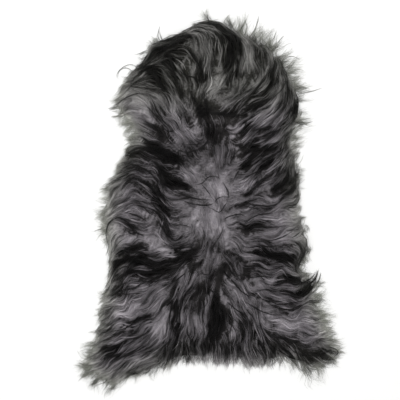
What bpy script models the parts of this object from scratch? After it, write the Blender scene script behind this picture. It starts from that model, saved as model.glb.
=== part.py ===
"""A long-haired sheepskin rug, lying flat on the floor.

Metres, +Z up. The underside lies on z = 0, the neck points to +Y and the two hind legs to -Y.
The pelt is one closed body: a lumpy slab of fleece, combed outwards from the spine, whose rim
wall runs out into tapered locks of hair that rest level on the floor.
"""

import math
from collections import namedtuple

import bpy
import numpy as np

# Driving dimensions, in metres.
LENGTH = 1.05            # neck to leg tips; every plan size in the tables is a hundredth of it
SPINE_DEPTH = 0.042      # depth of the fleece over the spine

# Locks round the rim.
LOCK_ROOT = 0.78         # share of a rim pitch that a lock's root takes; the rest is the gap
PITCH_SPREAD = 0.42      # how far a lock's pitch may differ from the mean, as a share of it
LOCK_TOP = 0.55          # width of a lock's top as a share of its foot
LOCKS = 120
REACH_SPREAD = (0.62, 1.18)   # least and greatest reach, as shares of the edge's
HEADING_SPREAD = 6.0     # degrees that a lock may lie off the edge's heading
CURL_SPREAD = 0.13       # sideways curl at its tip, as a share of its reach

# Profile of the slab, from 0 at the spine to 1 at the rim wall.
RINGS = (0.0, 0.12, 0.23, 0.34, 0.45, 0.56, 0.67, 0.77, 0.86, 0.94, 1.0)
LOFT_FROM = 0.55         # from here outwards the fleece has the edge's loft
SHOULDER = (3.0, 0.72)   # powers of the round shoulder that falls to the rim wall
RELIEF_FADE = 0.12       # width of the band at the rim where the relief dies away
RIDGE_FADE = 0.30        # width of the band at the spine where the ridges die away

# The comb of the fleece. Its rays bend into the heading at the rim and sway from side to side.
KNEE = 0.24              # share of a ray that lies along its heading at the rim
SWAY = 0.55              # sideways sway, in hundredths of the length
SWAY_TURNS = 1.6         # waves of it from the spine to the rim
DRIFTS = (3, 5, 8)       # turns round the pelt of the three waves that start each ray's sway

# Relief of the fleece.
RIDGE_SECTORS = 4        # grid sectors across one combed ridge
RIDGE_SLOPE = 0.13       # height of a ridge as a share of its width
RIDGE_SWAY = 0.30        # sideways sway of a ridge as a share of its width
TUFT_RINGS = 3.4         # rings along a ridge from one tuft's tip to the next
TUFT_STEP = 0.012        # drop at the tip of a tuft
TUFT_SPREAD = (0.35, 1.5)     # least and greatest size of a tuft, as shares of the mean

SEED = 7
FLEECE_COLOUR = (0.075, 0.071, 0.070, 1.0)
FLEECE_ROUGHNESS = 0.85

# The spine from which the hair is parted, in hundredths of the length.
SPINE_X = -0.6
SPINE_TOP = 30.0
SPINE_BOTTOM = -25.0
SPINE_HALF_WIDTH = 1.3

# The edge of the fleece, clockwise from the nape. x, y and reach, how far the locks stand out,
# are in hundredths of the length. heading is the way the hair lies there, in degrees from +X.
# wall, the height of the rim, and loft, the depth of the fleece inside it, are in millimetres.
Edge = namedtuple("Edge", "x y heading reach wall loft")
EDGE = (
    Edge(0.9, 45.9, 88, 2.0, 19, 56),        # nape
    Edge(10.2, 41.5, 62, 2.0, 19, 58),
    Edge(17.2, 35.0, 40, 2.2, 18, 56),       # right shoulder
    Edge(21.7, 27.0, 24, 2.4, 17, 54),
    Edge(20.6, 15.9, 12, 2.8, 16, 50),       # right waist
    Edge(21.1, 3.0, 12, 2.4, 17, 50),
    Edge(23.8, -11.0, 2, 2.2, 18, 52),       # right hip
    Edge(22.9, -17.4, 0, 2.6, 15, 46),
    Edge(26.2, -26.5, -8, 3.4, 14, 46),      # right thigh
    Edge(31.1, -38.0, -24, 3.2, 13, 38),     # right leg
    Edge(26.5, -41.0, -62, 3.4, 13, 40),
    Edge(18.0, -39.4, -76, 3.8, 14, 46),
    Edge(7.1, -40.2, -86, 3.6, 15, 46),
    Edge(-2.7, -38.9, -92, 3.8, 15, 46),     # tail
    Edge(-11.8, -40.2, -102, 3.4, 14, 44),
    Edge(-21.3, -44.8, -114, 3.2, 13, 38),
    Edge(-28.8, -45.8, -142, 4.2, 12, 32),   # left leg
    Edge(-30.4, -41.7, -160, 4.0, 12, 34),
    Edge(-27.8, -31.7, -162, 2.8, 14, 44),
    Edge(-25.5, -18.2, -170, 2.6, 17, 48),
    Edge(-26.2, -6.1, -176, 2.8, 18, 52),    # left flank
    Edge(-25.7, 1.7, -180, 2.8, 17, 52),
    Edge(-21.3, 10.2, -178, 2.8, 16, 50),
    Edge(-18.7, 16.4, -166, 3.0, 14, 42),    # left notch
    Edge(-23.1, 24.4, -166, 3.4, 14, 44),    # left forelock
    Edge(-20.0, 31.4, -188, 2.4, 17, 54),
    Edge(-15.3, 38.9, -218, 2.0, 18, 56),
    Edge(-7.8, 43.2, -246, 2.0, 19, 56),
)
TAIL_ROW = 13
CURVE_STEPS = 40         # steps of the smooth curve between two rows

# Broad swells and hollows of the fleece: centre and radii in hundredths of the length, turn in
# degrees, rise in millimetres.
Swell = namedtuple("Swell", "x y along across turn rise")
SWELLS = (
    Swell(-12.0, 34.0, 11.0, 5.5, 45, 9),       # roll over the left of the neck
    Swell(12.0, 34.0, 12.0, 6.0, -48, 9),       # roll over the right of the neck
    Swell(1.0, 40.0, 7.0, 4.5, 0, 6),           # nape
    Swell(8.0, 22.5, 10.0, 2.6, 8, -9),         # crease behind the neck
    Swell(-19.0, 20.0, 7.0, 3.4, 60, -7),       # hollow under the left forelock
    Swell(-16.0, 12.5, 8.0, 4.0, 35, 9),        # left shoulder
    Swell(-21.0, -2.5, 9.0, 5.0, 95, 8),        # left flank
    Swell(-13.0, -11.5, 8.0, 3.6, -35, 7),
    Swell(-13.0, -17.5, 10.0, 2.2, 0, -8),      # crease across the left haunch
    Swell(2.0, 1.0, 8.0, 9.0, 0, -7),           # short fleece on the back
    Swell(17.0, 5.0, 9.0, 4.0, 30, 7),          # right flank
    Swell(19.0, -8.5, 8.0, 4.0, 5, 8),          # right hip
    Swell(18.0, -14.6, 9.0, 2.0, 0, -7),        # crease under the right hip
    Swell(22.0, -22.0, 9.0, 4.0, -10, 6),
    Swell(-18.0, -27.0, 12.0, 5.0, 12, 7),      # left thigh
    Swell(2.0, -31.0, 3.0, 9.0, 0, -6),         # parting above the tail
    Swell(22.0, -34.5, 12.0, 3.6, -24, 6),      # right leg
    Swell(-22.0, -38.5, 12.0, 4.0, 28, 6),      # left leg
)

# Single locks that stand out further than their neighbours: the place on the rim that they
# grow nearest to, and their own reach, heading and curl.
Curl = namedtuple("Curl", "x y reach heading curl")
CURLS = (
    Curl(24.4, -22.4, 4.6, 10, 0.80),     # hooked lock on the right thigh
    Curl(-24.3, 25.0, 5.0, -164, -0.1),   # tip of the left forelock
    Curl(-25.3, -45.9, 5.2, -114, 0.1),   # lowest lock of the left leg
    Curl(-30.4, -44.4, 6.0, -150, 0.1),   # outer lock of the left leg
    Curl(31.0, -39.6, 4.4, -34, 0.2),     # lock of the right leg
    Curl(24.6, -40.8, 5.4, -66, 0.0),
    Curl(-1.2, 45.4, 4.4, 98, 0.0),       # spike on the nape
    Curl(21.4, 22.0, 4.2, 6, 0.2),        # spike on the right shoulder
)

# Sections along a lock: distance from root to tip, width and height as shares of the root's.
Section = namedtuple("Section", "at width height")
SECTIONS = (
    Section(0.30, 0.82, 0.74),
    Section(0.68, 0.48, 0.40),
)


def closed_spline(rows, steps):
    """Every column of rows on a closed smooth curve: cubic pieces whose slope at each row is
    half the step between its two neighbours."""
    table = np.array(rows, dtype=float)
    after = np.roll(table, -1, axis=0)
    heading = Edge._fields.index("heading")
    after[-1, heading] -= 360.0
    before = np.roll(table, 1, axis=0)
    before[0, heading] += 360.0
    slope = (after - before) / 2.0
    next_slope = np.roll(slope, -1, axis=0)
    t = (np.arange(steps) / steps)[None, :, None]
    hermite = (
        (2 * t**3 - 3 * t**2 + 1) * table[:, None, :]
        + (t**3 - 2 * t**2 + t) * slope[:, None, :]
        + (3 * t**2 - 2 * t**3) * after[:, None, :]
        + (t**3 - t**2) * next_slope[:, None, :]
    )
    return hermite.reshape(-1, table.shape[1])


def rim_stations(rng):
    """Edge values at each station round the rim: lock roots wide, the gaps between narrow, with
    uneven pitches, half of the stations on each side of the pelt."""
    steps = CURVE_STEPS
    curve = closed_spline(EDGE, steps)
    chord = np.roll(curve[:, :2], -1, axis=0) - curve[:, :2]
    run = np.concatenate([[0.0], np.cumsum(np.hypot(chord[:, 0], chord[:, 1]))])
    tail = run[TAIL_ROW * steps]
    half = LOCKS // 2
    sides = []
    for start, end in ((0.0, tail), (tail, run[-1])):
        pitch = rng.uniform(1.0 - PITCH_SPREAD, 1.0 + PITCH_SPREAD, half)
        edges = np.concatenate([[0.0], np.cumsum(pitch)]) / pitch.sum()
        roots = edges[:-1] + LOCK_ROOT * np.diff(edges)
        share = np.stack([edges[:-1], roots], axis=1).reshape(-1)
        sides.append(start + (end - start) * share)
    at = np.concatenate(sides)
    closed = np.vstack([curve, curve[:1]])
    closed[-1, Edge._fields.index("heading")] -= 360.0
    return np.stack([np.interp(at, run, column) for column in closed.T], axis=1)


def unit(angle):
    return np.stack([np.cos(angle), np.sin(angle)], axis=-1)


def combed_rays(rim, rng):
    """Plan of the top grid, (ring, station, 2): each ray leaves the spine and bends into the
    way the hair lies at the rim, as a quadratic Bezier curve, and sways to either side as a
    sine wave whose start drifts slowly from ray to ray."""
    count = len(rim)
    phase = 2.0 * math.pi * np.arange(count) / count
    middle = (SPINE_TOP + SPINE_BOTTOM) / 2.0
    half = (SPINE_TOP - SPINE_BOTTOM) / 2.0
    root = np.stack(
        [SPINE_X + SPINE_HALF_WIDTH * np.sin(phase), middle + half * np.cos(phase)], axis=1
    )
    tip = rim[:, :2]
    span = np.linalg.norm(tip - root, axis=1, keepdims=True)
    ahead = unit(np.radians(rim[:, 2]))
    knee = tip - KNEE * span * ahead
    s = np.array(RINGS)[:, None, None]
    ray = (1 - s) ** 2 * root + 2 * s * (1 - s) * knee + s**2 * tip
    aside = np.stack([root[:, 1] - tip[:, 1], tip[:, 0] - root[:, 0]], axis=1) / span
    start = rng.uniform(0.0, 2.0 * math.pi, len(DRIFTS))
    drift = np.sin(np.outer(phase, DRIFTS) + start).sum(axis=1)
    swing = np.sin(2.0 * math.pi * SWAY_TURNS * s + drift[:, None])
    return ray + SWAY * swing * 4.0 * s * (1 - s) * aside


def swell_height(plan):
    """Sum of the broad swells at each plan point, in metres: a turned bell for each row."""
    height = np.zeros(plan.shape[:-1])
    for swell in SWELLS:
        turn = math.radians(swell.turn)
        dx = plan[..., 0] - swell.x
        dy = plan[..., 1] - swell.y
        along = (dx * math.cos(turn) + dy * math.sin(turn)) / swell.along
        across = (dy * math.cos(turn) - dx * math.sin(turn)) / swell.across
        height += swell.rise * 0.001 * np.exp(-(along**2 + across**2))
    return height


def ridge_height(plan, rng):
    """Combed ridges in metres: a wave across the stations that sways from ring to ring, and
    along each ridge a ramp that climbs to a tuft's tip and drops, each tuft of its own size."""
    rings, count = plan.shape[:2]
    ridges = count // RIDGE_SECTORS
    width = np.linalg.norm(np.roll(plan, -1, axis=1) - plan, axis=2) * RIDGE_SECTORS
    width = (width + np.roll(width, 1, axis=1)) / 2.0 * LENGTH / 100.0
    station = np.arange(count)[None, :]
    ring = np.arange(rings)[:, None]
    phase = rng.uniform(0.0, 2.0 * math.pi, ridges).repeat(RIDGE_SECTORS)[None, :]
    sway = RIDGE_SWAY * np.sin(ring + phase)
    crest = np.cos(2.0 * math.pi * (station / RIDGE_SECTORS + sway))
    start = rng.uniform(0.0, 1.0, ridges).repeat(RIDGE_SECTORS)[None, :]
    along = ring / TUFT_RINGS + start
    sizes = rng.uniform(*TUFT_SPREAD, (int(along.max()) + 1, ridges))
    size = sizes[along.astype(int), station // RIDGE_SECTORS]
    climb = np.mod(along, 1.0) - 0.5
    return size * (RIDGE_SLOPE * width * crest + TUFT_STEP * climb)


def fleece_height(plan, rim, rng):
    """Height of the top grid: a round-shouldered slab, as deep as the spine's fleece in the
    middle and as the edge's loft further out, plus the swells and the ridges. The ridges die
    away towards the spine, and all relief at the rim wall."""
    s = np.array(RINGS)[:, None]
    wall = rim[:, Edge._fields.index("wall")][None, :] * 0.001
    loft = rim[:, Edge._fields.index("loft")][None, :] * 0.001
    outward = np.minimum(1.0, s / LOFT_FROM)
    depth = SPINE_DEPTH + (loft - SPINE_DEPTH) * outward**2 * (3.0 - 2.0 * outward)
    inner_power, outer_power = SHOULDER
    shoulder = (1.0 - s**inner_power) ** outer_power
    combed = np.minimum(1.0, s / RIDGE_FADE)
    relief = swell_height(plan) + ridge_height(plan, rng) * combed
    fade = np.minimum(1.0, (1.0 - s) / RELIEF_FADE)
    return wall + (depth - wall) * shoulder + relief * fade


def lock_points(left, right, wall, heading, reach, curl):
    """Sections of one lock: a tapered bar with its lower corners on the floor, that leaves its
    root along the heading and curls sideways, and the single point of its tip."""
    ahead = unit(math.radians(heading))
    aside = np.array([-ahead[1], ahead[0]])
    middle = (left + right) / 2.0
    half = (left - right) @ aside / 2.0
    points = []
    for section in SECTIONS:
        at = section.at
        centre = middle + reach * (at * ahead + curl * at**2 * aside)
        lean = unit(math.radians(heading) + math.atan(2.0 * curl * at))
        side = np.array([-lean[1], lean[0]]) * half * section.width
        high = wall * section.height
        points += [
            (*(centre - side), 0.0),
            (*(centre + side), 0.0),
            (*(centre + LOCK_TOP * side), high),
            (*(centre - LOCK_TOP * side), high),
        ]
    tip = middle + reach * (ahead + curl * aside)
    points.append((*tip, 0.0))
    return points


def add_lock(vertices, faces, root, points):
    """Join a lock's sections to its four root corners, in the order right, left, left top,
    right top, with every face turned outwards."""
    first = len(vertices)
    vertices.extend(points)
    rings = [root]
    for index in range(len(SECTIONS)):
        rings.append([first + 4 * index + corner for corner in range(4)])
    tip = first + 4 * len(SECTIONS)
    for near, far in zip(rings[:-1], rings[1:]):
        for corner in range(4):
            after = (corner + 1) % 4
            faces.append((near[corner], near[after], far[after], far[corner]))
    for corner in range(4):
        faces.append((rings[-1][corner], rings[-1][(corner + 1) % 4], tip))


def lock_styles(rim, rng):
    """Reach, heading and curl of every lock. The single locks are put in their places, and the
    lock on either side goes halfway with them, so that none cross."""
    roots = (rim[0::2] + rim[1::2]) / 2.0
    reach = roots[:, Edge._fields.index("reach")] * rng.uniform(*REACH_SPREAD, LOCKS)
    heading = roots[:, Edge._fields.index("heading")]
    heading = heading + rng.uniform(-HEADING_SPREAD, HEADING_SPREAD, LOCKS)
    curl = rng.uniform(-CURL_SPREAD, CURL_SPREAD, LOCKS)
    for single in CURLS:
        nearest = np.argmin(np.hypot(roots[:, 0] - single.x, roots[:, 1] - single.y))
        group = np.array([nearest - 1, nearest, nearest + 1]) % LOCKS
        share = np.array([0.5, 1.0, 0.5])
        turn = np.mod(single.heading - heading[group] + 180.0, 360.0) - 180.0
        heading[group] += share * turn
        reach[group] += share * (single.reach - reach[group])
        curl[group] += share * (single.curl - curl[group])
    return reach, heading, curl


def pelt_mesh():
    """The closed mesh: top grid, a strip that closes it along the spine, the rim wall with its
    locks, and the flat underside."""
    rng = np.random.default_rng(SEED)
    rim = rim_stations(rng)
    count = len(rim)
    plan = combed_rays(rim, rng)
    height = fleece_height(plan, rim, rng)
    scale = LENGTH / 100.0
    grid = np.concatenate([plan * scale, height[..., None]], axis=2)
    vertices = [tuple(point) for point in grid.reshape(-1, 3)]
    faces = []
    for ring in range(len(RINGS) - 1):
        for station in range(count):
            after = (station + 1) % count
            inner = ring * count
            outer = inner + count
            faces.append((inner + station, inner + after, outer + after, outer + station))
    for station in range(count // 2):
        mirror = count - station
        corners = (station, mirror % count, mirror - 1, station + 1)
        faces.append(tuple(dict.fromkeys(corners)))
    top = (len(RINGS) - 1) * count
    floor = len(vertices)
    vertices.extend((x, y, 0.0) for x, y, _ in grid[-1])
    faces.append(tuple(floor + station for station in range(count)))
    reach, heading, curl = lock_styles(rim, rng)
    for station in range(count):
        after = (station + 1) % count
        root = [floor + after, floor + station, top + station, top + after]
        if station % 2:
            faces.append(tuple(root))
            continue
        lock = station // 2
        left = grid[-1, station, :2]
        right = grid[-1, after, :2]
        wall = (grid[-1, station, 2] + grid[-1, after, 2]) / 2.0
        points = lock_points(left, right, wall, heading[lock], reach[lock] * scale, curl[lock])
        add_lock(vertices, faces, root, points)
    return vertices, faces


def centred(vertices):
    """Shift the points sideways so that the origin is under the middle of the whole pelt."""
    points = np.array(vertices)
    middle = (points.min(axis=0) + points.max(axis=0)) / 2.0
    middle[2] = 0.0
    return points - middle


def fleece_material():
    material = bpy.data.materials.new("fleece")
    material.use_nodes = True
    shader = material.node_tree.nodes["Principled BSDF"]
    shader.inputs["Base Color"].default_value = FLEECE_COLOUR
    shader.inputs["Roughness"].default_value = FLEECE_ROUGHNESS
    shader.inputs["Metallic"].default_value = 0.0
    return material


def build():
    for item in list(bpy.data.objects):
        bpy.data.objects.remove(item, do_unlink=True)
    vertices, faces = pelt_mesh()
    mesh = bpy.data.meshes.new("pelt")
    mesh.from_pydata(centred(vertices).tolist(), [], faces)
    mesh.materials.append(fleece_material())
    mesh.shade_smooth()
    mesh.set_sharp_from_angle(angle=math.radians(50.0))
    mesh.update()
    pelt = bpy.data.objects.new("pelt", mesh)
    bpy.context.scene.collection.objects.link(pelt)


build()
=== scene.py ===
"""The looks of a long-haired sheepskin rug, laid flat on a pale floor.

The solid pelt is the frame: its top gives the depth of the coat and its outline the reach of
the hair. The pieces are the tanned hide, the soft undercoat, the layers of combed hair with the
cover that takes them over the rim, the dark tips and charted wisps on top, and the fine hair
round the rim. Places in the tables are in hundredths of the pelt's length from its middle,
headings in degrees from +X, and hair sizes in millimetres.
"""

import math
from collections import namedtuple

import bpy
import numpy as np
from bpy.props import FloatProperty, FloatVectorProperty, IntProperty, PointerProperty, StringProperty
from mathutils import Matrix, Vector


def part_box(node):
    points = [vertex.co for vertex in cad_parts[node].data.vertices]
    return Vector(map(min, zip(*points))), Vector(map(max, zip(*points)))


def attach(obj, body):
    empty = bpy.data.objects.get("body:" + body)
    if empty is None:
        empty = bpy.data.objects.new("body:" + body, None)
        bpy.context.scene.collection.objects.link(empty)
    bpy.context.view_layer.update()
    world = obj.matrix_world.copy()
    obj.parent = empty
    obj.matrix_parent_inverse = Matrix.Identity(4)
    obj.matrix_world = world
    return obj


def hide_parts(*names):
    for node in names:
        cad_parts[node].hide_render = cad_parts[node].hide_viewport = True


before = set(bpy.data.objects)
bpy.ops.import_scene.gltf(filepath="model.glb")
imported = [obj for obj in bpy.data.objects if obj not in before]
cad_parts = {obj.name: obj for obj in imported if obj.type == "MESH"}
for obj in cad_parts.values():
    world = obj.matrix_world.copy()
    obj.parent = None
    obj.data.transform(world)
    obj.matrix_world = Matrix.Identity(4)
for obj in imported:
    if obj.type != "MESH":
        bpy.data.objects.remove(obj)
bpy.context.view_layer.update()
PELT_LOW, PELT_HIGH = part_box("pelt")
UNIT = (PELT_HIGH.y - PELT_LOW.y) / 100.0
MM = 0.001

bl_info = {
    "name": "Long-haired sheepskin",
    "version": (1, 0, 0),
    "blender": (4, 5, 0),
    "location": "View3D > Sidebar > Sheepskin",
    "description": "Grows a combed, mottled fleece over a solid sheepskin rug",
    "category": "Add Mesh",
}

# ---- Charts of the coat ----

# The way the hair is combed: x, y and the heading from a hair's root to its tip.
Comb = namedtuple("Comb", "x y heading")
COMB = tuple(Comb(*row) for row in (
    # neck, right of the parting
    (1.5, 27.5, 70), (3.5, 32, 66), (10, 29, 52), (17, 29, 62), (22, 24.5, 86), (20.5, 28.5, 94),
    (19.5, 32.5, 98), (17.5, 36, 106), (14, 39.5, 120), (11, 38.5, 108), (9.5, 42, 125), (7.5, 43.5, 138),
    (3.5, 39, 90), (3, 44.5, 142), (1, 45.8, 160), (7, 37, 84), (14, 33.5, 78),
    # nape and the left of the neck
    (-1.5, 45.4, 180), (-5, 44, 203), (-8, 42, 187), (-10.5, 42, 200), (-13, 40, 216), (-16, 37, 236),
    (-18, 34, 198), (-20.5, 31.5, 224), (-5, 40, 112), (-9, 33.5, 118), (-8, 23.5, 106), (-1.5, 41, 118),
    (-1.5, 32.5, 90), (-4, 27, 100),
    # left forelock and the notch under it
    (-14, 23.5, 130), (-17, 28.5, 150), (-19.5, 30.5, 186), (-22, 28.5, 212), (-24.5, 25.5, 206),
    (-22, 19, 197), (-15.5, 19.5, 142), (-19.5, 23.5, 174), (-11.5, 18.5, 118), (-18, 15.5, 166),
    # right shoulder
    (22, 22, 62), (19, 18.5, 42), (14, 23.5, 38), (7.5, 24, 20), (3.5, 24.5, 40),
    # middle of the back
    (0.5, 20.5, -70), (2, 15, -85), (3.5, 11, -95), (2.5, 4, -60), (0, -4, -95), (-2, -8, -110),
    # left shoulder and flank
    (-13, 4.5, 142), (-17, 7.5, 156), (-20.5, 8.8, 186), (-23.5, 6.8, 222), (-15.5, 3, 138),
    (-19.3, 5.8, 180), (-22.6, 3, 235), (-15.5, -2.4, 148), (-19.3, -1.2, 178), (-22.6, -2.2, 205),
    (-11.6, -6.8, 125), (-14.2, -4.2, 160), (-20.6, -5.8, 148), (-23.7, -5, 190), (-26.2, -7.8, 245),
    (-27, -11, 266), (-27, -1, 232), (-10.4, 12, 160), (-15.5, 13.2, 165), (-20.6, 12.7, 192),
    (-4, -0.4, 175), (-6.5, 2.2, 152), (-6.5, 6.8, 142), (-5.2, 13.2, 132),
    # right flank
    (10, 15.7, 38), (15.2, 17, 38), (19, 13.2, 36), (10, 9.3, 42), (16.5, 9.3, 42), (21, 8, 48), (9, 4, 40),
    (15, 3.5, 38), (21, 3, 42), (5, 7, 34), (6.5, -1.2, 12), (11.5, -1.2, 4), (18, -1, 12), (9, -5.2, 28),
    (14, -3.8, 6), (19, -4.3, 5), (11.5, -9.3, -6), (16.5, -9.1, 12), (21.6, -7.5, 24), (24.4, -10.6, -60),
    (23.4, -14.5, -105), (19, -13.7, -5), (14, -12.4, -8), (7.5, -10.6, -30),
    # left haunch and leg
    (-13, -15.5, 180), (-6.5, -13.7, 195), (-22, -12.4, 200), (-25, -16.2, 235), (-20.6, -18, 190),
    (-24.4, -20.6, 225), (-14.2, -20.6, 194), (-20.6, -22, 203), (-26.2, -24.7, 212), (-16, -29, 212),
    (-22, -31.3, 196), (-27.5, -33.6, 222), (-19.3, -35, 210), (-15.5, -37.2, 208), (-23.7, -40.8, 208),
    (-11.6, -24.4, 225), (-27, -45.7, 222), (-32, -45, 205), (-31, -41, 215), (-16.8, -43.6, 220),
    (-6.5, -18.8, 232),
    # tail
    (-4, -27.8, 268), (-4, -36.7, 268), (-9.1, -29, 262), (-10.4, -35, 252), (-13, -38, 235),
    (-7.8, -41, 257), (-2.7, -40.5, 268), (3, -13.7, -85), (3, -20, -90), (1.2, -25.5, -90), (1.2, -34, -90),
    (1.2, -40, -90), (4.2, -41, -90), (10, -41, -68), (11.6, -36.7, -65), (7.5, -29, -72), (4, -26.7, -56),
    # right haunch and leg
    (11.4, -16.2, -10), (7.5, -22, -45), (19, -20.8, 8), (12.7, -20, -16), (14, -25.2, -34),
    (18.3, -27.2, -18), (22.4, -28, 4), (21, -24.4, 0), (25, -23.7, 36), (27.2, -20.6, 76), (23, -20, 12),
    (16.5, -30.8, -38), (21.6, -32.4, -18), (28, -31.6, -3), (26.7, -27.2, -5), (14.2, -33, -46),
    (19, -35.4, -26), (26, -37.5, -10), (31.8, -38.5, -15), (17.8, -38, -50), (24.4, -43.6, -58),
    (20.3, -41, -55), (30.6, -42.6, -14), (28, -40.5, -22), (-33, -42.5, 207), (-28.5, -43, 211),
    (-24, -43, 215), (-25.5, -46, 222),
))

# Where the hair is shorter than elsewhere, on the back, the loins and behind the neck: middle and
# radius of the place, length of the hair.
Short = namedtuple("Short", "x y radius length")
SHORT = tuple(Short(*row) for row in (
    (2.5, 4, 8, 34), (0.5, -5, 6, 40), (0, -14, 5, 44),
    (-1, 20.5, 5, 52), (-3, 10, 4.5, 46), (0, -21, 4, 50),
))

# Felted places beside the spine, where the hair lies calm: middle, reach along x and y, and how
# calm it is.
Felt = namedtuple("Felt", "x y wide long calm")
FELTED = (Felt(-20, 21, 4, 6, 1), Felt(-1, -18, 5, 5, 0.6))
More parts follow.
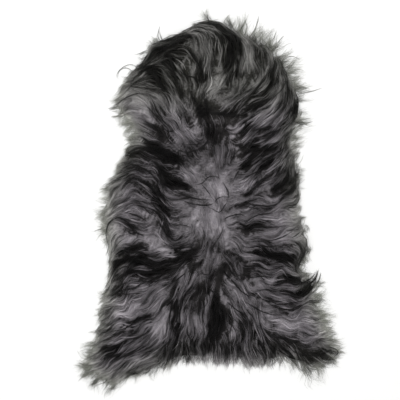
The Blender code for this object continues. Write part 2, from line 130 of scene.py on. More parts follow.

# Marks of the coat, laid one over the other as strokes, natural but for a painted highlight on the
# left flank: both ends, the half width in thousandths of the length, and the tone in hundredths,
# from 0 for black hair to 100 for the palest grey.
Mark = namedtuple("Mark", "x0 y0 x1 y1 width tone")
MARKS = tuple(Mark(*ends, width / 10, tone / 100) for *ends, width, tone in (
    # left of the neck, pale then dark
    (-4, 43, -1, 41, 20, 55), (0.5, 43, 0.8, 38, 14, 58), (-7, 44, -4.5, 44.5, 7, 60),
    (-3.5, 38, -1, 37, 15, 55), (-1.5, 33.5, 1, 27.5, 16, 68), (-22, 27.5, -17, 26, 17, 78),
    (-19, 24, -18, 18, 28, 88), (-15, 25, -12.5, 22.5, 8, 72), (-10, 26, -7.5, 21, 15, 78),
    (-8, 36.5, -4.8, 33.5, 13, 70), (-5.5, 34, -5, 33.6, 6, 85), (-22, 29.5, -19, 30.5, 9, 60),
    (-19.5, 32.5, -16, 31, 9, 50), (-9, 17.5, -4.5, 17, 14, 74), (-21.5, 17, -20, 15.5, 9, 80),
    (-12.5, 40.8, -6, 42.2, 10, 8), (-9.5, 39.5, -5, 37, 12, 12), (-5, 37, -3, 34.5, 9, 18),
    (-14, 38, -10.5, 38, 16, 10), (-10.5, 39, -9.5, 33, 15, 8), (-18, 35.5, -14.5, 38, 10, 25),
    (-19.5, 34.2, -13.5, 33.5, 9, 12), (-15, 33, -12.5, 30, 15, 6), (-13.5, 30, -11.8, 27.2, 12, 8),
    (-9.5, 33, -7.5, 27.5, 10, 15), (-5, 31.8, -1.7, 31, 13, 6), (-7, 34, -5, 32, 9, 15),
    (-3, 35, -2, 32.5, 6, 15), (-5.3, 29.5, -4.5, 26, 8, 25), (-4, 26.3, -2, 24.5, 9, 10),
    (-2.5, 23.5, 0.5, 22.5, 16, 4), (-3.2, 22, -2, 21, 8, 12), (-16.5, 23.5, -11.5, 19, 5, 22),
    (-15.5, 27, -11.5, 22, 5, 22), (-25, 24.8, -17.5, 28.3, 5, 32), (-19, 18, -15.5, 17, 10, 35),
    (-15, 18.5, -12, 17, 10, 20), (-14, 16.5, -10.5, 17, 8, 15), (-3, 45.3, 1, 45.2, 5, 20),
    (-10, 14.5, -4, 12.5, 5, 22), (-13, 18.5, -10.5, 17, 6, 20),
    # right of the neck
    (9, 42.5, 9.5, 36, 10, 66), (9.5, 35, 8.3, 33, 9, 78), (3, 33, 1, 28, 13, 68), (6.5, 33, 10, 32, 8, 60),
    (12, 30, 11.5, 28, 8, 66), (1, 25.5, 7, 25, 9, 58), (18.5, 27.3, 15.5, 24.5, 8, 76),
    (17, 23.5, 13.5, 21, 13, 80), (11, 20.8, 13, 20.5, 10, 74), (6.7, 20.3, 5.6, 17, 11, 78),
    (1, 45.5, 4, 43.5, 8, 15), (2.5, 43, 3, 40, 8, 30), (5, 44.5, 7.5, 41, 9, 15),
    (5.5, 42, 6.5, 37.5, 15, 6), (4.8, 38, 4.3, 33.5, 9, 10), (6.5, 37, 7, 33, 7, 20),
    (2.3, 40, 2, 36, 9, 35), (10.5, 42, 14, 38.5, 12, 28), (12.5, 40, 14.5, 36.5, 9, 30),
    (13.5, 37, 15.5, 33.5, 10, 22), (16.5, 37, 18, 32, 12, 28), (15, 33, 16.5, 30.5, 8, 25),
    (19.3, 35, 20.5, 31, 7, 30), (5, 34, 4.5, 30.5, 7, 20), (5.5, 29.5, 7.5, 26, 8, 28),
    (9, 28, 11.5, 26, 6, 22), (13, 28, 16, 26.5, 8, 25), (14, 28.5, 16.5, 30, 6, 30),
    (19, 27, 22, 27.5, 12, 35), (22.3, 25.5, 21, 22.5, 9, 12), (19.5, 23, 21.5, 21.8, 7, 20),
    (-0.5, 23.3, 4, 23, 8, 6), (4, 22.3, 11, 21.8, 5, 5), (9, 24, 14, 25.2, 7, 10),
    (10, 18.5, 16, 19, 5, 12), (8.5, 20, 8.5, 17, 8, 15), (1, 21.5, 4, 18, 15, 30),
    (0, 18.5, -0.5, 16.5, 6, 15), (18, 20, 21.5, 17.5, 12, 38),
    # back and right flank
    (3, 7.5, 7.5, 9.3, 16, 76), (1.5, 4, 2.5, 1, 26, 80), (-1, 8, 2, 7, 15, 64), (6, 2.5, 11, 5, 11, 70),
    (14, 2, 16, 4, 5, 50), (17, -3.5, 22.5, -2.5, 15, 74), (15, -8, 23.5, -8.8, 12, 78),
    (-1, -5, 2, -9, 24, 76), (-4, -3, -1.5, -6, 20, 74), (-5.5, -7.5, -3, -10, 12, 60),
    (15.5, -11, 22.5, -12, 12, 80), (20.5, -9, 23.5, -9.5, 8, 80), (2.5, 13.5, 2.3, 11.5, 8, 60),
    (-1.5, 22, -0.5, 16, 9, 15), (1, 19, 3, 16, 10, 40), (4.3, 19, 4.2, 16.5, 6, 15),
    (9.3, 20, 8, 16.8, 9, 12), (8, 16.8, 5.7, 15.4, 5, 15), (10.5, 18.4, 15.5, 18.8, 5, 10),
    (10, 16.8, 15.5, 18, 6, 30), (14.5, 16, 18.5, 18.7, 6, 20), (19, 17, 21, 20, 11, 42),
    (6.5, 14.3, 15.5, 13.6, 6, 10), (9, 14.6, 13, 16.2, 5, 12), (4, 15, 3.8, 11, 4, 18),
    (0.8, 14, 0.8, 11, 3, 25), (10, 13, 9, 8.5, 9, 12), (11.5, 9.5, 14.5, 10.5, 8, 10),
    (14.5, 10.5, 18.5, 14, 5, 12), (16, 13, 19.5, 14.8, 6, 30), (18.5, 11.5, 21, 13.5, 12, 38),
    (9, 7.8, 13.5, 8.6, 6, 12), (13.5, 8.6, 15, 10, 7, 10), (8.5, 1.2, 11.5, 3.2, 5, 8),
    (11.5, 3.2, 14.5, 6.2, 6, 12), (14.5, 6.2, 17, 8, 4, 25), (16, 7.5, 20, 9, 10, 38),
    (16.5, 3, 21.5, 7.2, 9, 8), (18.5, 1, 22.3, 4.5, 6, 15), (5, -1.5, 9, -0.3, 4, 20),
    (4, -4.5, 12, -3.3, 5, 20), (12, -3.3, 16.5, -1, 5, 30), (6.5, -6.3, 9, -6.3, 5, 12),
    (9, -7, 13.5, -5.7, 11, 10), (8, -8.8, 10, -7.5, 7, 15), (13.5, -6.3, 19, -6.3, 4, 15),
    (12, -8.3, 16, -8.5, 5, 40), (-2, 0, 0.5, -1.8, 4, 20),
    # left shoulder and flank
    (-8.5, 8, -3, 7, 14, 66), (-5.5, 11, -2.5, 9.5, 12, 52), (-23.5, 2, -20, 1.5, 16, 72),
    (-24.5, -1.5, -21, -2.5, 14, 70), (-26.5, 2, -27, -3, 13, 82), (-26.3, -6, -26, -9, 8, 75),
    (-18, 1.5, -15.5, -0.5, 8, 55), (-9.5, 0, -6, -3, 13, 62), (-17, -2.8, -14.5, -4, 8, 60),
    # The last stroke of this line and the first of the next are pale hair with a painted highlight on it.
    (-24, -8, -21, -9.5, 14, 74), (-24.5, -10.8, -22.5, -11.3, 9, 72), (-16.8, -8.5, -13.5, -11, 12, 80),
    (-13.5, -11, -10.8, -13.3, 15, 86), (-5, 14, -2.5, 13.5, 7, 55), (-6, 5, -3, 5.5, 8, 62),
    (-18.5, 14, -16.5, 12, 10, 30), (-20.5, 12.5, -18, 11.5, 9, 28), (-20, 10.5, -15, 10.5, 6, 35),
    (-15.7, 14.6, -11.5, 12, 16, 4), (-11.5, 12, -8.5, 10.3, 13, 5), (-8.5, 10.2, -6.3, 9.4, 5, 15),
    (-17, 16, -15, 14.5, 8, 20), (-13.3, 8.7, -11, 6.5, 12, 6), (-11.5, 5.8, -9.5, 4.5, 11, 8),
    (-9.5, 4.8, -5.5, 3.3, 6, 15), (-9, 9, -10.5, 8, 5, 30), (-23, 6.2, -19, 6, 5, 35),
    (-22, 9, -16.5, 8.2, 5, 25), (-18, 5.3, -15.5, 4.3, 6, 25), (-21, 4.3, -18.5, 4.2, 4, 30),
    (-15.3, 2.8, -12, 0.9, 8, 12), (-14, -0.3, -12.3, -1.8, 8, 12), (-12.3, -1.8, -10.8, -3.8, 7, 15),
    (-13, -3.2, -11.5, -4.5, 5, 20), (-9, 2, -5, 1.3, 6, 40), (-12, -5.3, -10.6, -7.8, 6, 15),
    (-21, -6.2, -19.3, -7.8, 7, 10), (-19.3, -7.8, -18, -9, 4, 20), (-23.5, -4.8, -20, -4.5, 4, 40),
    (-19.5, -11.4, -16.5, -11.6, 7, 12), (-19.5, -12.5, -17, -13.5, 8, 12), (-21, -12.3, -24, -14, 5, 20),
    (-24.7, -16.5, -21.5, -14.5, 8, 8), (-21.5, -14.5, -16.5, -14.8, 8, 6), (-16, -15, -11, -15.3, 5, 8),
    (-9.3, -10.5, -8, -12.5, 8, 10), (-8.3, -13, -6.3, -14.8, 9, 10), (-6.5, -10.5, -5, -12, 5, 30),
    (-3, 15, -1.5, 12, 9, 35),
    # right haunch and leg
    (9.3, -14, 11.5, -14.5, 6, 84), (4.5, -12, 9, -11.8, 7, 50), (-1, -14.5, 1.5, -13.5, 16, 62),
    (10.5, -16.6, 14, -17.5, 6, 66), (10.5, -18.6, 13.5, -18.8, 5, 55), (15, -17.8, 22.5, -17, 5, 55),
    (11.5, -21, 16.5, -21.5, 11, 78), (7, -21.5, 10.5, -23.5, 10, 52), (15, -23.8, 20, -25.2, 6, 60),
    (19, -22.3, 24, -22.5, 5, 50), (3.8, -21, 5.5, -25.5, 11, 72), (13, -29.5, 22, -33, 16, 82),
    (22, -33, 27, -34, 10, 74), (22, -30, 28, -31, 20, 68), (24.5, -27.5, 28, -26.5, 12, 72),
    (3.2, -30.8, 3.3, -34, 7, 62), (6, -29, 6.2, -34, 7, 68), (10.8, -32, 11.5, -35.5, 6, 66),
    (25, -36, 30, -36, 5, 50), (23, -42, 26, -44.5, 7, 55), (11, -9.8, 15, -10.3, 4, 15),
    (11.5, -13, 16, -13.8, 9, 5), (16, -13.6, 20.5, -15, 11, 4), (20.5, -15, 24, -13.3, 6, 10),
    (24, -13.3, 24.7, -9, 4, 15), (3.5, -12.6, 7, -14, 4, 14), (7, -14, 8.5, -15.5, 4, 14),
    (5, -14.5, 6.5, -17, 9, 35), (3.6, -15.5, 3.2, -19, 8, 20), (7, -15.5, 7, -18, 6, 25),
    (6, -19.5, 10, -19.5, 6, 10), (8.5, -18, 12, -16.5, 5, 15), (10, -15.8, 14.5, -15.8, 3, 15),
    (14.5, -16.3, 22, -16.5, 6, 35), (18, -19, 22, -19.8, 7, 7), (22, -19.8, 25.5, -21, 5, 12),
    (15.5, -21.8, 19, -20.5, 4, 10), (19, -20.5, 24, -21.5, 4, 15), (18.5, -23, 22, -24.3, 6, 10),
    (22, -24.3, 25.5, -23, 7, 8), (25.5, -23, 27.5, -20.5, 6, 12), (13.5, -24.3, 17, -26.3, 5, 15),
    (17, -26.3, 22, -26.3, 4, 18), (16, -27, 19.5, -28.5, 4, 18), (19.5, -28.5, 23, -26.5, 4, 20),
    (1.5, -22, 2.5, -24, 9, 10), (7, -27, 10.5, -31, 9, 28), (8, -27.5, 9.8, -29.5, 4, 66),
    (8, -31, 8.7, -35, 9, 15), (9.5, -31, 10, -34, 5, 25), (12.5, -32, 15, -34.5, 5, 15),
    (15, -34.5, 20, -37, 6, 12), (14.5, -35.5, 17, -38.5, 7, 22), (16.5, -36.5, 22, -39.5, 5, 20),
    (20, -36, 26, -37.3, 5, 14), (23, -38.3, 28.5, -38.8, 6, 7), (28.5, -38.8, 31.5, -37, 5, 10),
    (20, -39.7, 28, -40.5, 5, 20), (5.5, -35.5, 8, -39.5, 10, 30), (9, -36, 11.5, -39.5, 8, 35),
    (12.5, -36, 15, -40, 7, 20),
    # tail
    (1, -25.5, 2.5, -30, 18, 4), (1.5, -30, 0.5, -34.5, 16, 4), (4.3, -28, 5, -31, 5, 12),
    (5, -31, 4.5, -34, 5, 15), (0, -35, 0, -38, 12, 15), (-4.8, -25.5, -4.5, -28.5, 6, 62),
    (-3.5, -29.5, -3, -34, 9, 68), (-1.5, -29, -1, -31, 5, 60), (-8, -29.5, -5.5, -33, 7, 64),
    (-6, -29, -5.5, -34, 5, 60), (-3.3, -25, -3.3, -29, 5, 15), (-6.5, -25, -7, -28, 6, 25),
    (-9.5, -25, -9, -27.5, 10, 8), (-9.3, -28, -9.5, -34, 5, 12), (-8, -31, -8.3, -34.5, 5, 10),
    (-9.5, -36.5, -9.5, -39.5, 12, 28), (-7, -35.5, -6.5, -39.5, 8, 30), (-4.5, -36, -4, -39.5, 10, 25),
    (-2, -35.5, -1, -38.5, 12, 25), (2, -37, 6, -39, 10, 28),
    # left haunch and leg
    (-23, -16.9, -17, -16.8, 4, 60), (-23.5, -18.8, -20, -19.8, 7, 58), (-9.5, -17.5, -7, -17, 6, 50),
    (-7, -16, -5, -16, 8, 62), (-7.5, -19, -4.5, -20.5, 11, 58), (-3, -18.5, 0, -21.5, 13, 50),
    (-18.5, -21.8, -14, -22.3, 9, 78), (-13, -24, -11.5, -23.5, 10, 66), (-25.5, -25.5, -20, -27.5, 13, 76),
    (-19.5, -27, -15.5, -27.5, 15, 82), (-14, -28.5, -11, -27.5, 12, 60), (-24.5, -29, -20.5, -29.8, 9, 72),
    (-18.5, -33, -14, -31.5, 10, 72), (-14, -34, -11.5, -31.5, 11, 72), (-25, -35.8, -20.5, -35, 7, 55),
    (-19.5, -36.5, -15.5, -35.7, 6, 60), (-19.5, -41, -15, -40.5, 9, 68), (-25, -42.5, -21.5, -41.8, 6, 62),
    (-31, -43, -25, -44, 9, 50), (-32.5, -41.8, -31, -41, 7, 70), (-30, -45, -25, -46.5, 10, 66),
    (-24.5, -44.5, -21, -44.8, 6, 60), (-30, -38, -31, -40, 8, 75), (-14.5, -21, -9.5, -18.8, 4, 50),
    (-24.5, -15.2, -15, -15.8, 6, 5), (-24, -17, -22.5, -18, 5, 25), (-22, -18, -16, -18.6, 7, 5),
    (-16, -18.8, -10, -17.5, 11, 5), (-15, -16.5, -10, -16, 9, 6), (-25, -18, -24, -20, 6, 25),
    (-19, -20, -14.5, -20.5, 5, 7), (-4.5, -17, -3, -16.5, 7, 12), (-10.5, -20.8, -8.5, -19.5, 4, 15),
    (-10.5, -22.5, -9.5, -21.5, 5, 15), (-8.5, -22.5, -5, -23.5, 10, 30), (-3, -22, 0, -23.5, 10, 22),
    (-23, -21.3, -20, -22, 6, 30), (-28.5, -25, -22, -23.8, 5, 8), (-22, -23.8, -20, -24, 4, 12),
    (-25, -22.5, -21, -22.5, 5, 35), (-27.5, -27, -25.5, -26.5, 5, 30), (-13, -27.5, -10.5, -26, 4, 15),
    (-11, -28, -9.5, -27, 4, 15), (-28.5, -31, -25.5, -30.5, 8, 30), (-28, -33.5, -25, -33.5, 6, 30),
    (-29.5, -34, -28.5, -36, 6, 35), (-23, -33.5, -20, -31.5, 9, 12), (-20.5, -33.5, -19.5, -32.5, 8, 15),
    (-20, -31.3, -15.5, -28.8, 5, 10), (-21, -36.3, -15.5, -33.3, 4, 15), (-28, -38.5, -23, -37.3, 8, 7),
    (-29.5, -40.3, -25, -39.5, 9, 6), (-25, -39.3, -21, -39.3, 5, 12), (-20.5, -39, -13.5, -36.5, 3, 20),
    (-17.5, -39.5, -12, -36.5, 3, 25), (-13.5, -38.5, -11, -37, 10, 40), (-12, -40.5, -11, -39.5, 8, 30),
    (-22.5, -42.5, -20.5, -41, 3, 20), (-22, -43.8, -18.5, -43.8, 4, 20), (-17.5, -43.8, -15, -42.5, 4, 30),
    (-29.5, -41.8, -26.5, -41.3, 7, 35),
    # bleached rims
    (-23, 27, -22, 22, 20, 66), (-17.5, 26, -16.5, 17.5, 22, 66), (-20, 19, -18.5, 14.5, 16, 70),
    (-28, -27, -31, -39, 15, 60), (28.5, -24, 29.5, -36, 15, 62), (-30, -43, -26, -46, 18, 62),
    # darker and paler places laid over the rest
    (-8, 22.5, -5.5, 20, 11, 22), (-14, 12.5, -8, 6.5, 14, 25), (-6.5, 9, -1, 7.5, 13, 36),
    (4.5, 14, 6, 10.5, 11, 22), (2, 22.5, 6.5, 20, 10, 26), (-16, 4.5, -12.5, 2.5, 11, 28),
    (-24.5, -6, -22, -7.5, 11, 42), (-16.5, -9, -9, -10.5, 12, 34), (-3.5, -5, -3, -11, 14, 42),
    (1, -11, 3.5, -13, 12, 36), (1.5, -18.5, 3.5, -24, 15, 26), (-5, -23, -4, -28, 13, 36),
    (8, -32, 12, -36, 14, 34), (20, -34, 25, -34.5, 12, 38), (-16, -28, -14, -31, 11, 34),
    (12, 39, 13, 35.5, 11, 25), (4, 36, 5, 33, 11, 36), (-18.5, 33, -15.5, 27, 16, 60),
    (-14.5, 27, -13.5, 22.5, 12, 72), (-5.5, 34, -4.5, 31, 10, 62), (10.5, 21.5, 12, 19, 11, 55),
    (19, 34.5, 20.5, 29, 12, 52), (12, 4, 15, 1, 15, 58), (3, -4, 14, -3.5, 13, 62),
    (19, -4.5, 22.5, -5, 14, 64), (14, -8, 19, -8, 12, 62), (23, -17, 26, -20, 11, 52),
    (25, -26, 29, -31, 16, 70), (8, 44.5, 9, 42, 12, 62), (-27.5, -2, -27, -9, 12, 72),
    (-12, 21, -9.5, 19.5, 10, 56), (22, 33, 22.5, 27, 13, 55), (20, -4, 23, -6, 16, 68),
    (23.5, -17.5, 25.5, -20.5, 13, 58), (24, -26, 30, -33, 18, 72), (-17, -25, -15, -28, 13, 60),
    (-19, -32, -17, -35, 13, 58), (-28, -3, -27.5, -7, 12, 74), (-26, 6, -24.5, 4, 10, 60),
    (14, -26, 19, -27.5, 12, 60), (9, -23, 11, -25, 10, 58), (-13, 29, -12, 25, 12, 60),
    (-18, 32, -16.5, 29, 14, 58), (15, -34, 18, -38, 13, 34), (-7, -6, -6, -10, 12, 44),
    (-3, -8, 0, -12, 14, 42), (-6, 38, -4, 35, 11, 34), (17, 39, 18.5, 36.5, 10, 32),
    (-23.5, 23, -20, 15.5, 18, 76), (-32, -41, -29, -40, 14, 66), (10, -38, 16, -40, 13, 24),
    (-12, -38.5, -6, -40, 12, 26), (28, -40, 31, -41, 12, 34), (2.5, 24.8, 9, 23.8, 8, 40),
    (4, 20.8, 6.5, 20.6, 7, 25), (-3.5, 27, -1.5, 24, 11, 30), (5, 27.3, 9.5, 26.9, 10, 60),
    (17, 23.5, 20, 25.5, 9, 22), (11, 19.8, 13, 20.8, 9, 85), (6, 17.2, 8, 19, 9, 80),
    (0.3, 18.5, 1.2, 15, 10, 8), (17.5, 13.5, 20.5, 17.5, 12, 20), (13.5, 12, 16.5, 14, 8, 15),
    (7, 12.5, 8.3, 11.5, 8, 20), (4.2, 13.5, 5.2, 10.5, 7, 62), (21.7, 17, 21.6, 12.5, 10, 82),
    (18.5, 7.5, 20, 9.5, 8, 50), (11, 0.5, 15.5, 4.5, 8, 62), (16, 1, 19, 3, 6, 50),
    (18, -1.2, 21.5, 0.5, 8, 75), (15, -7.5, 22, -4.8, 16, 84), (17, -9.2, 21, -8, 8, 80),
    (14, -10.8, 23, -12, 10, 35), (8, -14.8, 14, -15.2, 8, 65), (26, -24.5, 29, -24, 12, 92),
    (11.5, -20, 14.5, -20.5, 9, 80), (9.5, -21.5, 13, -22, 8, 40), (0.5, -1.5, 1.5, -4, 16, 86),
    (4, -4, 5.5, -6, 10, 82), (2.5, -6, 2.5, -8.5, 12, 86), (0, -9.5, 5, -8.7, 9, 50),
    (8, -8.3, 13, -7.2, 8, 30), (6, -18.5, 8.5, -16.5, 10, 30), (0, 4.5, 3, 3, 12, 90),
    (-27.6, 2, -27.9, -8, 13, 98), (-25, 0, -21, 1, 8, 75), (-19, 4.5, -16.5, 2, 13, 28),
    (-17, 19.5, -14.5, 17.5, 8, 35), (-13, 15.3, -11, 15.3, 10, 20), (-17.5, 11, -14.5, 10.8, 9, 18),
    (-13, 9.8, -8.5, 9.2, 7, 12), (-9, 14.5, -5.5, 11.5, 7, 35), (-7, 6.7, -4, 8, 10, 85),
    (-4.5, 0.3, -1, -1, 8, 45), (-4.5, -3, -5.2, -6.5, 9, 55), (-10, -8, -7, -8.5, 8, 40),
    (-3, -6, -2.7, -8, 10, 82), (-3, -10.5, -5, -15.5, 15, 25), (-19, -9, -12, -10.5, 9, 72),
    (-17, -11.5, -13.5, -13.3, 8, 40), (-15, -15, -11.5, -15.2, 6, 45), (-11, -16, -5, -15.3, 7, 10),
    (-9.5, -17.5, -11.5, -22, 9, 30), (-5, -17, -4.7, -20, 6, 30), (-25.5, -9, -25.4, -15, 8, 92),
    (-2.8, -22, -2.8, -27, 12, 20), (-29, -26, -24.5, -24.8, 9, 95), (-8.5, 37.5, -6.5, 35.5, 13, 30),
    (-13, 38, -8, 40, 12, 12), (0.3, 41.5, 0.8, 37.5, 8, 60), (2.4, 42, 2.8, 37, 7, 30),
    (7.3, 37, 7, 33.5, 7, 55), (8, 31.5, 12, 33.5, 10, 30), (12.5, 33, 15, 36, 10, 30),
    (16.5, 34.5, 17.2, 31, 8, 50), (6, 28.5, 9.5, 29.5, 8, 55), (10.5, 27.5, 13.5, 29, 8, 50),
    (0.5, 35, 2, 32.5, 7, 35), (-18, 28.5, -14.5, 28, 8, 70), (9.3, 43, 10.2, 39, 8, 65),
    (12.5, 42.3, 14.5, 41, 8, 60), (-4, 45, 0, 46, 7, 45), (1, 46, 4, 45.5, 7, 40),
    (-32, -42, -29, -44.5, 14, 90), (-27, -46, -22, -46.5, 10, 85), (29.5, -26, 30, -33, 10, 92),
    (31.5, -35, 32.5, -38.5, 12, 80), (-23.5, 22.5, -21.5, 17, 14, 96), (-21.5, 14, -24.5, 9, 8, 72),
    (-26, -2, -26, -8, 14, 86), (-25.5, -19, -26, -22, 8, 75), (-24, -28, -19, -29.5, 12, 80),
    (-27, -31, -21, -33, 9, 68), (-2.8, -8.8, -2.2, -10.5, 8, 35), (14, -29.5, 16, -33, 8, 45),
    (4, -23, 6.5, -27.5, 8, 42), (-7.5, -25.5, -7.2, -30, 8, 25), (20, -36, 22, -38.5, 11, 30),
    (30, -28, 31.5, -36, 12, 100), (32, -36.5, 33, -39.5, 10, 90), (25, -19.5, 27.5, -22.5, 10, 72),
    (-32, -41.3, -29.5, -40.5, 8, 45), (-19, 36.5, -14.5, 40, 5, 45), (-17, 27.5, -14.5, 24.5, 9, 40),
    (-9.3, 24, -8.3, 21.5, 7, 70), (-0.5, 27, 0.5, 24, 8, 28), (-7.5, 10.3, -1, 9.8, 9, 50),
    (10, 8, 13, 10, 8, 50), (15.5, 8, 18, 10, 7, 45), (-20, 27.5, -15.5, 25, 12, 86),
    (-22.5, 11.5, -25, 7.5, 7, 80), (-30, -42.5, -28, -41, 10, 45), (-30, -35, -31.5, -40, 9, 85),
    (25, -19, 27.5, -19.8, 7, 85), (-24, -17.5, -22, -19, 8, 60), (-9, -38, -3, -38.5, 10, 45),
    (-22, -35.5, -14, -37, 10, 55), (21.3, 14, 21.8, 11, 6, 80), (-25.5, 6, -24, 8.5, 8, 75),
    (2.5, -24, 4.5, -27, 6, 60), (10, -23, 14, -27, 7, 55),
))
SPINE = Mark(-1, -24, -1, 13, 0, 0)     # line of the back from which the hair parts
GROUND_TONE = 0.53       # tone of the coat between the marks

# Fringes of fine hair: both ends of the run of rim that they grow from, their heading, their
# length in millimetres, how many hairs there are, and how far the coat swells past the solid's
# outline there, in millimetres.
Fringe = namedtuple("Fringe", "x0 y0 x1 y1 heading length hairs swell")
FRINGES = tuple(Fringe(*row) for row in (
    # top and right of the neck
    (-1.5, 46, 0, 46.5, 100, 35, 30, 1), (3, 46, 6, 45.5, 70, 36, 50, 3), (7, 44.5, 11, 43, 72, 60, 90, -4),
    (11, 43, 15, 41, 62, 60, 110, 2), (15, 41, 18, 38.5, 58, 58, 100, 8),
    (18, 38, 20.5, 34.5, 30, 60, 100, 5), (20.5, 34.5, 22, 30.5, 10, 55, 110, 2),
    (22, 30, 23, 25, 15, 50, 110, -1), (22.5, 22, 22.5, 19.5, 5, 52, 80, 2),
    # right flank and haunch
    (22, 18.5, 21.5, 13, 10, 40, 120, -5), (22, 12, 22.5, 9, 60, 9, 30, 11),
    (22.5, 8, 23, 3, 20, 18, 70, 11), (22.8, 2, 23, -2, 60, 10, 40, 5), (23.2, -3, 24, -5, 0, 10, 20, -6),
    (24, -5.5, 24.8, -9, -60, 8, 30, 9), (25, -9.5, 24.5, -13, -80, 26, 60, 13),
    (24.5, -14, 24, -16, -40, 26, 60, 1), (24.5, -17.5, 28, -18.5, 60, 26, 60, -13),
    (28, -21, 28.2, -22.5, 20, 34, 40, 12), (28, -22.5, 28.5, -26, 5, 38, 90, 1),
    (28.5, -26, 28.5, -33, 5, 42, 150, -8), (29.5, -33, 32, -38, 0, 34, 130, -8),
    # legs and the edge between them
    (32, -38, 31.5, -42, -15, 35, 110, 10), (31, -42.5, 25, -43, -25, 34, 110, 11),
    (19.5, -41, 22.5, -42, -62, 40, 60, 4), (23, -42.5, 26.5, -43.5, -60, 56, 80, 14),
    (10, -41, 15.5, -41, -88, 34, 110, 11), (17, -41, 20, -41, -85, 30, 60, 3),
    (-5, -40.5, -1.5, -40.5, -88, 30, 60, 4), (-1, -40.5, 4, -40.5, -88, 32, 80, 5),
    (5, -41, 9, -41, -88, 28, 70, -3), (-12, -41.5, -8.5, -40.5, -100, 30, 60, 13),
    (-8, -40.5, -5.5, -40.5, -88, 28, 40, 2), (-22, -45, -18, -44, -135, 30, 60, 5),
    (-18.5, -44.2, -12.5, -42, -135, 32, 90, 19), (-31, -45, -27, -47, -135, 52, 90, -7),
    (-25, -47, -22, -46.5, -130, 56, 90, 6), (-32, -44, -30, -46, -145, 46, 100, -12),
    (-32, -41, -31.5, -44, 203, 50, 160, -3), (-30, -36, -31.5, -40, 200, 42, 120, -3),
    # left flank
    (-29, -30, -30, -36, 215, 20, 80, -1), (-27, -23, -29, -30, 215, 28, 100, 4),
    (-26, -10, -26, -22, 245, 14, 90, 1), (-27.5, -4, -27.5, -10, 195, 36, 160, -3),
    (-27.5, 1.5, -27.5, -4, 190, 36, 130, 0), (-24, 9, -25.5, 6, 215, 20, 40, 1),
    (-26.5, 4.5, -27.3, 2.5, 205, 28, 50, 9), (-21, 14.5, -24, 9, 205, 22, 80, 5),
    # notch, forelock and the left of the neck
    (-20.5, 20.5, -20.5, 18.5, 205, 28, 90, -17), (-20.5, 17, -20.5, 14, 190, 32, 140, 9),
    (-23.5, 23, -21.5, 21, 225, 38, 90, -16), (-22.5, 28, -23, 23, 215, 38, 150, -2),
    (-20, 32.5, -22.5, 28, 215, 24, 70, 10), (-17, 36, -20, 32.5, 210, 10, 40, 2),
    (-13, 41, -14.5, 39.5, 120, 24, 40, 14), (-15, 38.5, -17, 36, 200, 14, 40, 4),
    (-2, 46, -13, 41.5, 190, 8, 100, 1),
))

